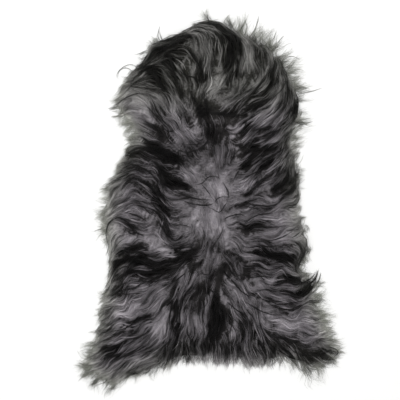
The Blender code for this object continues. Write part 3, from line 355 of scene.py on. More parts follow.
# Single wisps of dark outer hair on the coat: tone in hundredths, width in millimetres, and the
# places that the wisp runs through, x and y in turn, from its root to its tip.
Wisp = namedtuple("Wisp", "tone width places")
WISPS = tuple(Wisp(tone / 100, width, places) for tone, width, *places in (
    # left of the neck and the forelock
    (10, 8, -8, 42.5, -10.5, 42, -13, 41, -15.5, 39), (6, 10, -5, 41, -8, 41, -11, 39.5, -14, 38),
    (6, 9, -8, 30, -9.5, 33.5, -10.5, 37.5, -12.5, 39),
    (8, 8, -11, 26.5, -13, 30, -14.5, 32.5, -17, 33.5, -18.5, 33.5),
    (12, 4, -15.5, 39, -17, 36.5, -18, 34.5), (15, 4, -14, 36.5, -16, 35.5, -18.5, 34.5),
    (25, 3, -13, 30, -15.5, 31, -18.5, 31, -21, 29, -23, 27),
    (30, 3, -15.5, 27, -18.5, 27.5, -22, 26.5, -25, 24.5), (12, 4, -10.5, 18.5, -13, 22, -14.5, 25, -16, 28),
    (18, 3, -12, 19.5, -15, 23, -17, 25), (15, 4, -12.5, 17.5, -15.5, 19.5, -17.5, 21.5),
    (20, 3, -10, 23, -11, 26, -13, 29), (14, 3, -6.5, 24.5, -7.5, 28, -8.5, 31, -9.5, 33),
    (20, 3, -8.5, 26, -9.5, 28.5, -11, 31.5), (10, 5, -1.5, 30, -2, 32.5, -3.5, 35.5, -6, 38.5),
    (12, 5, -2.5, 30, -4, 31.5, -6.5, 32, -8, 33.5), (10, 3, -3, 24.5, -4.5, 26.5, -5.5, 28.5),
    (30, 1, -18.5, 34, -20.5, 35.5, -23, 34.5, -24.3, 33, -24.5, 31.5),
    (30, 1, -19.5, 33, -21.5, 34.5, -23.5, 34, -24, 32, -23, 31),
    (22, 1, -14.5, 38.5, -16.5, 39, -18.5, 38.2, -20.5, 37.8), (22, 1, -15, 38, -17, 38.4, -19, 37.5),
    (20, 2, -12.5, 41, -13.5, 42.5, -13.4, 44, -13, 45.6), (20, 1, -12, 41, -12.8, 42.5, -13.3, 44.5),
    (15, 2, 1, 45.5, -0.2, 46.3, -0.8, 47.4, -0.6, 48.6),
    # nape and the right of the neck
    (30, 1, 21.5, 27.5, 24, 28, 26.5, 28.6, 29.5, 29.6), (30, 1, 21.5, 28.5, 23.5, 29.5, 26, 29),
    (25, 2, 21, 21.5, 23, 20.6, 25, 20.3, 27, 20.9), (25, 1, 21, 20.8, 23.5, 20, 25.5, 19.8),
    (30, 1, 9, 43.5, 9.5, 45, 9, 46.5, 8.5, 47.8), (28, 2, 11, 43, 11.6, 44.6, 12.2, 46.5, 12.8, 48.6),
    (28, 1, 15.5, 41, 16.5, 42.5, 17.2, 44.4), (28, 1, 17, 40, 18, 41.8, 19.6, 43.4),
    (28, 1, 18.5, 37, 21, 37.6, 23, 36.8, 24, 36.4), (12, 3, 4.5, 44, 2, 45.5, -0.5, 46, -3, 45.5),
    (7, 8, 3.5, 32.5, 4.5, 36, 5, 40, 5, 43), (10, 5, 5.5, 33, 6.5, 37, 7, 40, 6.5, 43),
    (14, 4, 4.5, 29, 5.5, 31.5, 7, 34.5, 8, 38), (20, 3, 3, 37.5, 2.5, 41, 1.5, 43, 0.5, 44.5),
    (20, 3, 6.5, 27, 9, 30, 10.5, 32.5, 12, 35), (14, 5, 9, 26, 12, 29, 14.5, 32.5, 15.5, 35.5),
    (18, 4, 13, 26.5, 15.5, 29, 17.5, 32, 18, 35.5), (20, 3, 15.5, 26, 18.5, 29, 19.5, 32.5),
    (6, 5, 21, 21.5, 22.5, 24, 22.5, 26.5, 21.5, 29), (12, 5, 19, 21.5, 21, 24, 22, 26.5),
    (5, 7, -1.5, 23, 2, 22.5, 6.5, 22, 10, 22), (8, 5, 7.5, 25, 10, 24.5, 14, 25.5, 17, 27),
    (10, 4, 7, 23, 10, 24, 13, 24.5), (6, 6, -0.5, 20.5, -1, 23, -1.5, 26, -3, 28),
    # behind the neck
    (12, 3, 0.5, 21.5, 0.5, 19, -0.5, 16.5), (14, 4, 3.5, 21, 3.5, 18.5, 2, 16),
    (10, 5, 9.5, 21.5, 8.5, 18.5, 7.5, 16.5), (10, 3, 3.5, 15.5, 4.5, 13, 3.5, 10.5),
    (14, 3, 0.5, 15.5, 1, 13, 0.5, 11), (8, 4, 0, 17, -1, 15, -2.5, 13.5, -4.5, 12.5),
    (12, 3, -1.5, 14.5, -4, 13, -6.5, 12.5, -9, 13.5), (18, 2, -1.5, 15, -4, 14.5, -7, 14.5),
    (15, 3, -2.5, 12, -5, 11.5, -8, 12, -10, 13.5, -11.5, 15), (18, 2, -4, 19.5, -5, 19, -7, 19),
    (12, 3, -9, 18, -11, 18, -12, 19), (12, 3, -11.5, 20.5, -12.5, 18.5, -11, 16.5, -9, 15),
    # right shoulder and flank
    (15, 3, 9.5, 18, 13, 18.5, 16.5, 19), (12, 3, 5.5, 15, 9, 14, 12, 14.5),
    (12, 4, 13, 17, 15.5, 17.5, 18, 18.5), (10, 4, 7.5, 14, 11.5, 14.5, 14, 15.5, 16.5, 17),
    (10, 4, 6.5, 12, 9, 13, 11.5, 13.5, 17.5, 13.5), (10, 5, 13, 8.5, 15, 11, 18, 13, 20, 14.5),
    (7, 9, 9, 9, 10.5, 11, 13, 12.5), (12, 3, 5.5, 5, 7, 7.5, 8.5, 9),
    (14, 3, 7.5, 5, 9.5, 6.5, 11.5, 7.5, 14, 9), (10, 5, 7.5, 1.5, 10, 2.5, 12, 4.5, 14, 6.5),
    (7, 8, 15, 3, 18, 4.5, 20.5, 6.5, 22, 7.5), (14, 4, 16, 6, 18.5, 7.5, 21, 8.5),
    (12, 6, 17.5, 1, 20, 2.5, 22, 4), (14, 3, 5, -1.5, 8.5, -0.5, 12, -1, 16, -1, 18.5, 0.5),
    (18, 2, 6.5, -0.5, 10, -1.5, 13.5, -2), (12, 2, 3.1, -5.4, 4, -4.2, 6.5, -3.3, 8.5, -3.3),
    (12, 3, 7.5, -7, 9.5, -5, 12, -3.5, 16, -3, 18.5, -1.5),
    (10, 5, 8, -7.5, 10.5, -6.5, 14, -6.5, 17, -6.5, 19.5, -6),
    (14, 3, 11.5, -9.5, 15, -10, 18.5, -9, 21, -7.5, 23.5, -7), (25, 2, 20.5, -9.5, 22, -8.5, 23.5, -7.5),
    (10, 4, 23.5, -8, 25, -10.5, 24, -13, 22.5, -15),
    (5, 8, 11.5, -13, 14.5, -14, 18, -14.5, 21, -14.5, 23, -13.5), (12, 3, 12, -11, 15, -11.5, 18.5, -11),
    (14, 3, 3, -12.5, 5.5, -13, 8, -14.5, 10, -16), (18, 3, 3, -13.5, 5, -16, 6.5, -19),
    (12, 3, 9.5, -15.5, 12, -15, 14.5, -15.5, 18, -14.5),
    (14, 3, 9.5, -17, 12, -16.5, 15, -17.5, 18.5, -16.5, 21.5, -17),
    (12, 4, 5.5, -19.5, 8, -18.5, 10.5, -19.5, 13, -19, 16.5, -19.5),
    # right haunch and leg
    (8, 5, 19, -18, 21.5, -19.5, 24, -21, 26, -20.5), (8, 3, 16, -22, 18.5, -20.5, 21.5, -20.5, 24.5, -21),
    (8, 5, 18.5, -23.5, 21.5, -24.5, 24.5, -24, 26.5, -22, 27.5, -19, 27.5, -17.5),
    (14, 3, 11.5, -23, 14.5, -22.5, 18, -23.5), (14, 3, 5, -19.5, 7, -22, 9.5, -24, 11.5, -24),
    (10, 4, 13, -24.5, 15, -26, 18.5, -27.5, 22, -27.5, 25, -25.5),
    (12, 3, 14, -24, 16.5, -26, 20, -26, 23, -25.5),
    (14, 3, 7.5, -25, 10.5, -26.5, 13, -28, 16.5, -29, 19.5, -29),
    (10, 6, 13, -31.5, 15.5, -34, 20, -35.5, 23.5, -37, 27.5, -38),
    (15, 4, 14.5, -33, 18, -34.5, 21.5, -35.5, 26, -35.5),
    (5, 8, 20.5, -38, 23.5, -39.5, 27.5, -39.5, 30.5, -38.5, 32, -37.5),
    (15, 3, 29.5, -37.5, 32, -38, 33, -39, 31.5, -40.5), (10, 4, 17.5, -38, 20, -40, 23, -41, 26, -41),
    (10, 5, 10.5, -34, 13, -36.5, 14.5, -39.5, 15.5, -41), (14, 4, 6.5, -28, 7.5, -30.5, 8, -34, 10, -38),
    (10, 3, 4, -25.5, 6.5, -27.5, 8.5, -29, 9.5, -31.5), (12, 3, 24, -42, 25.5, -43.5, 26.5, -45),
    (30, 3, 20.5, -40.5, 23, -43, 24, -44.5),
    # tail
    (10, 4, -1, -21.5, 0.5, -23, 3, -24.5), (3, 14, 1, -24, 2, -29, 1, -34, 0, -38),
    (4, 8, 3, -25, 3.5, -30, 2.5, -34, 1, -38), (12, 3, 4.5, -26.5, 5.5, -30, 5, -33.5, 5.5, -36.5),
    (12, 3, -2.5, -24, -3, -28, -2.5, -31.5), (15, 3, -0.5, -25, -2, -29, -1, -33),
    (15, 3, -5, -30, -6, -33, -5, -36, -6, -38.5), (15, 3, -3, -33, -3.5, -36, -4, -39),
    (15, 3, -7, -35.5, -8.5, -38, -9, -40), (10, 4, -10, -23, -10, -26.5, -10.5, -30.5, -10, -34),
    (8, 4, -8, -25, -8.5, -28, -8.5, -31.5, -8, -34.5),
    # left shoulder and flank
    (3, 14, -5, 10.5, -8, 11, -11, 12.5, -14, 13.5, -16, 14.5),
    (5, 9, -6.5, 9.5, -10, 10.5, -13, 12, -16, 13.5, -19, 13),
    (12, 4, -11.5, 11, -15, 13, -18, 13, -20.5, 11.5, -22, 9), (15, 4, -15, 9.5, -17.5, 11.5, -20, 12.5),
    (13, 5, -13, 4, -15, 7, -17.5, 8.5, -20.5, 9.5, -23, 8, -25, 6),
    (20, 3, -15.5, 5.5, -17, 7.5, -20, 8, -22, 7),
    (10, 4, -13.5, 1, -15.5, 3.5, -17.5, 5, -20, 6, -22, 4.5, -23, 2.5),
    (16, 3, -16, 2.5, -17.5, 4, -19.5, 5, -21.5, 4.5, -22.5, 3), (5, 10, -5, 3.5, -8.5, 5.5, -11, 7, -13, 8),
    (8, 7, -8, 3.5, -10.5, 3.5, -12.5, 5, -13.5, 7.5), (9, 6, -11, 1, -13, 1.5, -15, 3.5, -17, 4.5),
    (8, 6, -9.5, -3.5, -11.5, -1.5, -14, 0.5, -15.5, 2), (12, 4, -11, -3, -13, -2.5, -14.5, -1, -15.5, 1),
    (15, 3, -13, -4, -15.5, -3, -17, -1.5, -19.5, -1, -22, -2), (20, 3, -15.5, -1, -17.5, 0, -19.5, 0),
    (17, 3, -15.5, -5.5, -18, -4, -20.5, -3, -23, -2.5),
    (25, 3, -21, -5, -23.5, -4, -26, -5.5, -27, -8.5, -26.5, -11),
    (6, 5, -17.5, -8.5, -19.5, -7.5, -21, -6, -23, -5), (10, 4, -19, -8.5, -20.5, -8, -21.5, -7),
    (8, 5, -8.5, -10.5, -10.5, -9, -12, -7, -13.5, -5, -15, -4.5), (14, 3, -10.5, -8, -11, -6, -12, -4),
    (20, 2, -5, -6.5, -7.5, -6, -9.5, -6.5), (12, 3, 1, -0.5, -1.5, -1, -5, -0.5, -8, 0.5),
    (15, 3, 0.5, 0.5, -2.5, 0.5, -6.5, 1.5, -8.5, 3, -10.5, 3),
    # left haunch and leg
    (5, 9, -7.5, -13, -10.5, -15.5, -14, -15.5, -18, -15, -21, -14, -23.5, -15.5, -25, -17),
    (6, 7, -15.5, -13, -17.5, -11.5, -20, -11.5, -22.5, -13, -24.5, -15.5),
    (10, 6, -15.5, -14.5, -18, -13, -20.5, -13, -22.5, -14.5),
    (5, 8, -10, -17, -13.5, -18, -17, -18, -20, -18, -22, -19, -23.5, -20.5),
    (5, 8, -11, -18, -14, -19.5, -17.5, -19),
    (15, 3, -18, -17, -20.5, -16.5, -23, -17, -25, -19.5, -26, -22.5),
    (9, 4, -11.5, -19.5, -14, -20.5, -17, -20.5, -19, -22, -22, -22.5, -25, -23.5, -28, -25),
    (12, 3, -20, -24, -23, -23.5, -25.5, -24, -28, -25.5), (20, 3, -20.5, -20.5, -23.5, -21.5, -26, -23),
    (10, 4, -6.5, -15.5, -8.5, -17, -10.5, -18.5, -12.5, -20),
    (12, 4, -6, -18, -8, -19.5, -10, -21, -11.5, -22), (5, 8, -7, -11, -8, -13.5, -9, -15.5),
    (8, 6, -4.5, -12, -6, -14, -7.5, -15.5), (10, 4, -9, -25, -11.5, -26, -13, -27.5),
    (10, 5, -15, -27.5, -17, -29.5, -18.5, -30.5, -21, -32, -23.5, -33, -27, -33.5),
    (20, 4, -20, -33, -23, -33.5, -26, -35, -29, -36.5),
    (13, 3, -15, -32.5, -17, -34, -19.5, -35.5, -22, -37, -24.5, -38),
    (6, 6, -23.5, -37, -25.5, -37.5, -27.5, -38.5),
    (7, 6, -21.5, -38.5, -24.5, -39.5, -27, -40, -29.5, -41.5),
    (12, 3, -18, -37.5, -20.5, -38.5, -23, -40, -26, -40.5), (15, 3, -14, -36.5, -17, -38, -19.5, -39),
    (15, 3, -20.5, -40.5, -22, -41.5, -23.5, -43, -25, -43.5),
    (12, 3, -10.5, -33, -10.5, -35.5, -12, -37, -14, -38.5), (10, 3, -15, -42.5, -16, -44, -17.5, -45),
    # curls on the back
    (15, 2, -2.5, -17, -2, -18.5, -0.5, -18.5, 0.5, -17), (15, 2, 1.5, -10, 0.5, -12, 1, -13.5),
    (8, 3, -4.7, 4.3, -2.3, 4.5, -0.5, 6.2, 1.4, 6.4, 2.8, 5.6), (12, 2, -2.5, 4.7, -0.9, 2.7, 0.7, 0.6),
    (10, 2, 3, 5.2, 3.9, 3.8, 4.6, 2.4, 4.5, 1, 4, -0.3),
    (10, 2, 4.4, 1.1, 2.8, 1.1, 1.5, 0.5, 1.3, -0.2, 2.2, -0.8),
    (7, 3, 4.7, 0.4, 3.6, -1, 2.3, -2.8, 0.5, -1.9, -1.5, -1.1),
    (15, 1, 3.5, -5.7, 3, -7.5, 2.1, -9.4, 0.2, -12),
    # hook of the right haunch
    (16, 6, 21, -23.5, 24.5, -22, 27, -20, 28.2, -17.2),
    (14, 5, 22.5, -24, 26, -22.5, 28, -20.5, 28.6, -18.3),
    (22, 5, 21, -21.5, 24, -20.8, 26.3, -19.6, 27.4, -18),
))

# A wisp narrower than this, in millimetres, is a few single hairs: it lies on the coat and leaves
# the wool under it as it is.
FINE_WISP = 4

# The tanned skin under the fleece: its four sides from corner to corner, x and y in turn.
HIDE_LEFT = (-28.8, -43.6, -27.2, -36.7, -25, -30, -24.2, -23, -23.4, -17, -23.7, -11, -24.7, -3.5,
             -24.2, 2.4, -21.6, 8.6, -18.5, 13.7, -17.5, 18.8, -20, 24, -20, 28, -17.5, 32.5)
HIDE_TOP = (-17.5, 32.5, -13, 37.5, -7.8, 40.5, -1.4, 42.6, 5, 41.3, 11.4, 38.2, 16.5, 33.5)
HIDE_RIGHT = (28.5, -38, 26, -33, 24.4, -27.8, 22.4, -22.6, 21.1, -17.5, 21.6, -12.4, 20.8, -6,
              20, 0.4, 19.3, 8, 19.8, 15.7, 19.8, 22.8, 19, 29, 16.5, 33.5)
HIDE_BOTTOM = (-28.8, -43.6, -22, -43, -14.2, -38.5, -5.2, -36.7, 4.2, -38.5, 13.2, -38.5,
               20.3, -37.8, 28.5, -38)


# ---- Sizes and colours that a user would change ----

def size_in(low, high, default, name, description, **kind):
    """A size with its limits, its name, what it means and its kind of unit."""
    return FloatProperty(name=name, description=description, default=default, min=low, max=high, **kind)


def hex_colour(default, name, description):
    """A colour as an sRGB hex value."""
    return StringProperty(name=name, description=description, default=default)


class CoatSizes(bpy.types.PropertyGroup):
    """Sizes of the fleece"""

    seed: IntProperty(name="Seed", description="Start of every random draw", default=11, min=0)
    lock_pitch: size_in(8, 40, 15.5, "Lock pitch", "Distance from one lock's root to the next, in mm")
    lock_width: size_in(4, 40, 17, "Lock width", "Width over which a lock's strands lie, in mm")
    hair_length: size_in(20, 160, 88, "Hair length", "Length of a full lock, in mm")
    wave_length: size_in(20, 200, 62, "Wave length", "Length of one wave of the hair, in mm")
    wave_swing: size_in(0, 1.2, math.radians(8), "Wave swing",
                        "Angle by which a lock's own wave swings to each side", subtype="ANGLE")
    strand_width: size_in(0.3, 6, 1, "Strand width", "Width of a strand at its middle, in mm")
    layers: IntProperty(name="Layers", description="Number of layers of combed hair",
                        default=4, min=1, max=8)
    layer_strands: IntProperty(name="Strands in a layer", description="Number of strands in each layer",
                               default=5000, min=100, max=9000)
    tips: IntProperty(name="Dark tips", description="Number of locks with drawn-out dark tips",
                      default=600, min=0, max=5000)
    rim_pitch: size_in(2, 20, 5.2, "Rim pitch", "Distance between the strands that close the rim, in mm")
    rim_share: size_in(0, 2, 1.12, "Rim hair", "Share of the fringes' hairs that is grown")
    hide_thickness: size_in(0.8, 4, 2, "Hide thickness", "Thickness of the tanned skin, in mm")


class CoatColours(bpy.types.PropertyGroup):
    """Colours of the hair and the skin, as sRGB hex values"""

    black_hair: hex_colour("#070606", "Black hair", "Darkest outer hair")
    dark_hair: hex_colour("#2B2929", "Dark hair", "Dark brown-grey hair")
    grey_hair: hex_colour("#A19CA1", "Grey hair", "Grey wool of the back")
    pale_hair: hex_colour("#DFD9DF", "Pale hair", "Palest grey wool")
    rim_dark: hex_colour("#35362F", "Rim dark", "Dark olive hair at the rim")
    rim_pale: hex_colour("#C9CBC0", "Rim pale", "Pale olive hair at the rim")
    suede: hex_colour("#D2C3AC", "Suede", "Flesh side of the tanned skin")
    suede_shade: hex_colour("#BFAE95", "Suede shade", "Darker clouds of the suede")


class StageLook(bpy.types.PropertyGroup):
    """Floor, light and camera"""

    floor: hex_colour("#F4F4F3", "Floor", "Colour of the floor")
    sky: size_in(0, 10, 0.85, "Room light", "Strength of the even white light")
    softbox: size_in(0, 1000, 42, "Softbox", "Power of the large lamp overhead, in watts")
    camera_height: size_in(0.5, 20, 3, "Camera height", "Height of the camera over the floor",
                           unit="LENGTH")
    field: size_in(0.2, 5, 1.085, "Field",
                   "Width of floor that the camera sees at the height of the fleece", unit="LENGTH")
    aim: FloatVectorProperty(name="Aim", description="Point of the floor under the camera",
                             default=(-0.0285, 0.004), size=2, unit="LENGTH")


# ---- Chart: fields over the floor on a square grid ----

STEP = 3.0 * MM          # side of a cell
MARGIN = 66.0 * MM       # room round the pelt
WEST, SOUTH = PELT_LOW.x - MARGIN, PELT_LOW.y - MARGIN
COLUMNS = int((PELT_HIGH.x - PELT_LOW.x + 2 * MARGIN) / STEP) + 2
ROWS = int((PELT_HIGH.y - PELT_LOW.y + 2 * MARGIN) / STEP) + 2
# Places of every cell, in metres and, as the tables have them, in hundredths of the length.
X, Y = np.meshgrid(WEST + STEP * np.arange(COLUMNS), SOUTH + STEP * np.arange(ROWS))
ACROSS, UP = X / UNIT, Y / UNIT


def eased(share):
    """0 to 1 with a level start and end: 3 s^2 - 2 s^3."""
    share = np.clip(share, 0, 1)
    return share * share * (3 - 2 * share)


def unit(vectors):
    """The vectors, (..., n), scaled to a length of 1."""
    return vectors / (np.linalg.norm(vectors, axis=-1, keepdims=True) + 1e-12)


def turned(cos, sin, turn):
    """Cosine and sine of a heading after it is turned."""
    return cos * np.cos(turn) - sin * np.sin(turn), sin * np.cos(turn) + cos * np.sin(turn)


def read(field, x, y):
    """The field at any places: the four cells round a place, mixed by how near each one is."""
    u = np.clip((x - WEST) / STEP, 0, COLUMNS - 1.001)
    v = np.clip((y - SOUTH) / STEP, 0, ROWS - 1.001)
    i, j = u.astype(int), v.astype(int)
    a, b = u - i, v - j
    low = field[j, i] * (1 - a) + field[j, i + 1] * a
    high = field[j + 1, i] * (1 - a) + field[j + 1, i + 1] * a
    return low * (1 - b) + high * b


def read_at(field, points):
    """The field at points, (..., 2)."""
    return read(field, points[..., 0], points[..., 1])


def blurred(field, radius):
    """The field smoothed by three passes of a running mean each way, radius cells to each side."""
    width = 2 * radius + 1
    for _ in range(3 * 2):
        total = np.cumsum(np.pad(field, ((radius + 1, radius), (0, 0)), "edge"), axis=0)
        field = ((total[width:] - total[:-width]) / width).T
    return field


def drift(rng, size):
    """A soft random field of unit spread, whose swells are about size metres across."""
    field = blurred(rng.standard_normal((ROWS, COLUMNS)), max(1, int(size / STEP / 3)))
    return (field - field.mean()) / field.std()


def coat_depth():
    """Height of the solid pelt's top over every cell, and zero outside it.

    Each triangle is sampled at even shares of its three corners, and a cell keeps the highest
    sample that falls in it.
    """
    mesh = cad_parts["pelt"].data
    mesh.calc_loop_triangles()
    points = np.empty(len(mesh.vertices) * 3)
    mesh.vertices.foreach_get("co", points)
    corners = np.empty(len(mesh.loop_triangles) * 3, dtype=int)
    mesh.loop_triangles.foreach_get("vertices", corners)
    triangles = points.reshape(-1, 3)[corners.reshape(-1, 3)]
    parts = 16        # steps of a share, which set samples closer than the cells are
    shares = np.array([(a, b, parts - a - b) for a in range(parts + 1) for b in range(parts + 1 - a)])
    samples = np.einsum("sc,tcd->tsd", shares / parts, triangles).reshape(-1, 3)
    depth = np.zeros((ROWS, COLUMNS))
    column, row = np.rint((samples[:, :2] - (WEST, SOUTH)) / STEP).astype(int).T
    np.maximum.at(depth, (row, column), samples[:, 2])
    return depth


def edge_distance(inside):
    """Distance of every cell from the pelt's outline, in metres, below zero inside it."""
    beside = [np.roll(inside, way, axis) for way in (1, -1) for axis in (0, 1)]
    edge = inside & ~np.all(beside, axis=0)
    edge_x, edge_y = X[edge], Y[edge]
    nearest = np.empty(X.shape)
    for row in range(ROWS):
        gap = (X[row][:, None] - edge_x) ** 2 + (Y[row][:, None] - edge_y) ** 2
        nearest[row] = np.sqrt(gap.min(axis=1))
    return np.where(inside, -nearest, nearest)


def combed_way():
    """Cosine and sine of the hair's heading over every cell.

    Every row of COMB pulls with the inverse fourth power of its distance, softened near by.
    """
    soft = (1.6 * UNIT) ** 2        # keeps a row's pull finite at its own place
    along_x, along_y = np.zeros(X.shape), np.zeros(X.shape)
    for row in COMB:
        pull = 1.0 / ((X - row.x * UNIT) ** 2 + (Y - row.y * UNIT) ** 2 + soft) ** 2
        along_x += pull * math.cos(math.radians(row.heading))
        along_y += pull * math.sin(math.radians(row.heading))
    size = np.hypot(along_x, along_y) + 1e-12
    return along_x / size, along_y / size


def hair_reach(full):
    """Length of the hair over every cell, in metres: full, but for the places in SHORT."""
    reach = np.full(X.shape, full * MM)
    for place in SHORT:
        far = np.hypot(X - place.x * UNIT, Y - place.y * UNIT) / (place.radius * UNIT)
        reach += (np.minimum(reach, place.length * MM) - reach) * np.exp(-far ** 2)
    return reach


def stroke_distance(stroke):
    """Distance of every cell in metres from the straight line between a stroke's two ends, and
    the share of that line at which the nearest point lies."""
    run_x, run_y = (stroke.x1 - stroke.x0) * UNIT, (stroke.y1 - stroke.y0) * UNIT
    off_x, off_y = X - stroke.x0 * UNIT, Y - stroke.y0 * UNIT
    share = np.clip((off_x * run_x + off_y * run_y) / (run_x ** 2 + run_y ** 2), 0, 1)
    return np.hypot(off_x - share * run_x, off_y - share * run_y), share


def coat_tone():
    """Tone of the coat over every cell: the strokes of MARKS laid one over the other, then the
    wisps that are wide enough to darken the wool under them.

    A stroke narrows towards both ends and fades to its sides.
    """
    tone = np.full(X.shape, GROUND_TONE)
    for mark in MARKS:
        far, share = stroke_distance(mark)
        swell = 0.55 + 0.5 * np.sqrt(np.sin(math.pi * (0.06 + 0.88 * share)))
        tone += (mark.tone - tone) * np.exp(-(far / (mark.width * UNIT * swell)) ** 2.4)
    beads, reach = 17, 8        # places along a wisp, and cells to each side that one darkens
    for wisp in WISPS:
        if wisp.width < FINE_WISP:
            continue
        swell = wisp.width * 0.5 * MM * (0.35 + 0.65 * np.sin(np.linspace(0.1, 3.04, beads)))
        for (at_x, at_y), half in zip(curve_through(wisp.places, beads) * UNIT, swell):
            column, row = int((at_x - WEST) / STEP), int((at_y - SOUTH) / STEP)
            near = np.s_[row - reach:row + reach + 1, column - reach:column + reach + 1]
            cover = np.exp(-((X[near] - at_x) ** 2 + (Y[near] - at_y) ** 2) / half ** 2)
            tone[near] += (wisp.tone - tone[near]) * 0.5 * cover
    return tone


def fringe_chart(column):
    """A column of FRINGES in metres over every cell: each fringe pulls with the inverse fourth
    power of its distance."""
    total, weight = np.zeros(X.shape), np.zeros(X.shape)
    for fringe in FRINGES:
        pull = (stroke_distance(fringe)[0] ** 2 + UNIT ** 2) ** -2.0
        total += pull * getattr(fringe, column) * MM
        weight += pull
    return total / weight


def combed_streaks(cos, sin, rng, reach):
    """A random field of unit spread that runs in streaks along the hair: white noise averaged
    along the combed way, reach metres to each side."""
    noise = rng.standard_normal(X.shape)
    total = noise.copy()
    for way in (STEP, -STEP):
        x, y = X, Y
        for _ in range(int(reach / STEP)):
            step_x, step_y = read(cos, x, y), read(sin, x, y)
            size = np.hypot(step_x, step_y) + 1e-9
            x, y = x + way * step_x / size, y + way * step_y / size
            total += read(noise, x, y)
    return (total - total.mean()) / total.std()


RIM_CAST = 0.72      # olive cast of the wool at the rim
CALMED = 0.7         # share of its unevenness that felted hair loses


class Coat:
    """The charts that every layer of hair reads."""

    def __init__(self, sizes):
        rng = np.random.default_rng(sizes.seed)
        raw = coat_depth()
        solid = (raw > 0).astype(float)
        self.edge = edge_distance(blurred(solid, 1) > 0.5)
        self.broad_edge = edge_distance(blurred(solid, 4) > 0.5)
        self.depth = blurred(raw, 1)
        self.reach = hair_reach(sizes.hair_length)
        self.phase = drift(rng, 100 * MM) * 2.2
        self.swing = 1.0 + 0.35 * drift(rng, 120 * MM)
        self.mottle = drift(rng, 30 * MM)
        outward_y, outward_x = np.gradient(blurred(self.edge, 2))
        size = np.hypot(outward_x, outward_y) + 1e-9
        self.out_x, self.out_y = outward_x / size, outward_y / size
        self.rim, self.swell = fringe_chart("length"), fringe_chart("swell")
        self.from_spine = stroke_distance(SPINE)[0]
        waved = self.waved(*combed_way(), sizes.wave_length * MM, rng)
        self.cos, self.sin = self.laid_along_rim(*waved)
        self.felted, self.cast = self.felted_places(), self.olive_cast()
        self.tone = self.streaked_tone(rng)

    def waved(self, cos, sin, wave, rng):
        """The comb, turned to and fro by the sine of 2 pi times the distance from the spine over
        the wave's length, and by a soft random turn. It swings in full on the haunches and
        flanks, and less towards the neck, the leg tips and the rim."""
        swing = 0.42 * np.clip(self.swing, 0.4, 1.5) * np.clip(1.25 - UP / 24, 0.35, 1)
        swing = swing * np.clip(-self.edge / (50 * MM), 0.15, 1) * np.clip((UP + 48) / 12, 0.35, 1)
        turn = swing * np.sin(2 * np.pi * self.from_spine / wave + 1.4 * drift(rng, 90 * MM))
        return turned(cos, sin, turn + 0.20 * drift(rng, 30 * MM))

    def laid_along_rim(self, cos, sin):
        """The comb without its outward part where the fringe is short: in full from 3 mm inside
        the outline, and less and less inwards by exp(distance / 14 mm)."""
        short = np.clip(1.15 - self.rim / (28 * MM), 0, 1)
        level = np.exp(np.minimum(self.edge + 3 * MM, 0) / (14 * MM)) * short
        outwards = np.maximum(cos * self.out_x + sin * self.out_y, 0) * level
        return cos - outwards * self.out_x, sin - outwards * self.out_y

    def felted_places(self):
        """How calm and felted the hair lies, 0 to 1: a bell of 62 mm about the spine in front of
        the loins, and the bells of FELTED."""
        calm = np.exp(-(self.from_spine / (62 * MM)) ** 2) * eased((UP + 16) / 8)
        for place in FELTED:
            far = ((ACROSS - place.x) / place.wide) ** 2 + ((UP - place.y) / place.long) ** 2
            calm += place.calm * np.exp(-far)
        return np.minimum(calm, 1)

    def olive_cast(self):
        """How olive the wool is: up to RIM_CAST over the last 50 mm before the rim and 0.55 over
        the neck, but for the edge of the tail, where most of it fades by a bell across."""
        neck = eased((UP - 18) / 12)
        cast = np.maximum(RIM_CAST * np.clip(1.0 + self.edge / (50 * MM), 0, 1), 0.55 * neck)
        return cast * (1 - 0.7 * np.exp(-((ACROSS - 4) / 17) ** 2) * np.clip(-UP / 4 - 8.5, 0, 1))

    def streaked_tone(self, rng):
        """The charted tone, slipped along the comb by about 8 mm, more here and less there, so
        that marks end in hairs; bleached over the last 16 mm and past the outline; streaked."""
        slip = 8 * MM * combed_streaks(self.cos, self.sin, rng, 0.018)
        tone = read(coat_tone(), X + slip * self.cos, Y + slip * self.sin)
        bleached = (0.14 * np.clip(1 + self.edge / (16 * MM), 0, 1)
                    + 0.12 * np.clip(self.edge / (8 * MM), 0, 1))
        streaks = combed_streaks(self.cos, self.sin, rng, 27 * MM) * (1 - CALMED * self.felted)
        return (tone + bleached + 0.12 * streaks).clip(0.02, 1)

    def swollen(self, points):
        """The points, (..., 2), moved outwards by the swell: in full past the outline, and less
        and less inside it, by the bell exp(-(edge / 22 mm)^2)."""
        share = np.exp(-(np.minimum(read_at(self.edge, points), 0) / (22 * MM)) ** 2)
        way = np.stack([read_at(self.out_x, points), read_at(self.out_y, points)], axis=-1)
        return points + way * (read_at(self.swell, points) * share)[..., None]


# ---- Hair ----

# Cross-section of a strand: side and lift, in shares of its half width and half depth.
STRAND_PROFILE = np.array([(0.87, -0.5), (0.0, 1.0), (-0.87, -0.5)])
NET_ROW = 0.866      # distance between the rows of a triangular net, in its pitch
FULL_TURN = 6.28     # radians


def scattered(rng, coat, pitch, inset):
    """Places for roots: a triangular net of that pitch, each knot moved by up to half a pitch,
    and only those that lie at least inset inside the outline."""
    rows = int((PELT_HIGH.y - PELT_LOW.y) / (pitch * NET_ROW)) + 1
    columns = int((PELT_HIGH.x - PELT_LOW.x) / pitch) + 2
    i, j = np.meshgrid(np.arange(columns), np.arange(rows))
    x = PELT_LOW.x + (i + 0.5 * (j % 2)) * pitch
    y = PELT_LOW.y + j * pitch * NET_ROW
    x = (x + rng.uniform(-0.5, 0.5, x.shape) * pitch).ravel()
    y = (y + rng.uniform(-0.5, 0.5, y.shape) * pitch).ravel()
    keep = read(coat.edge, x, y) < -inset
    return x[keep], y[keep]


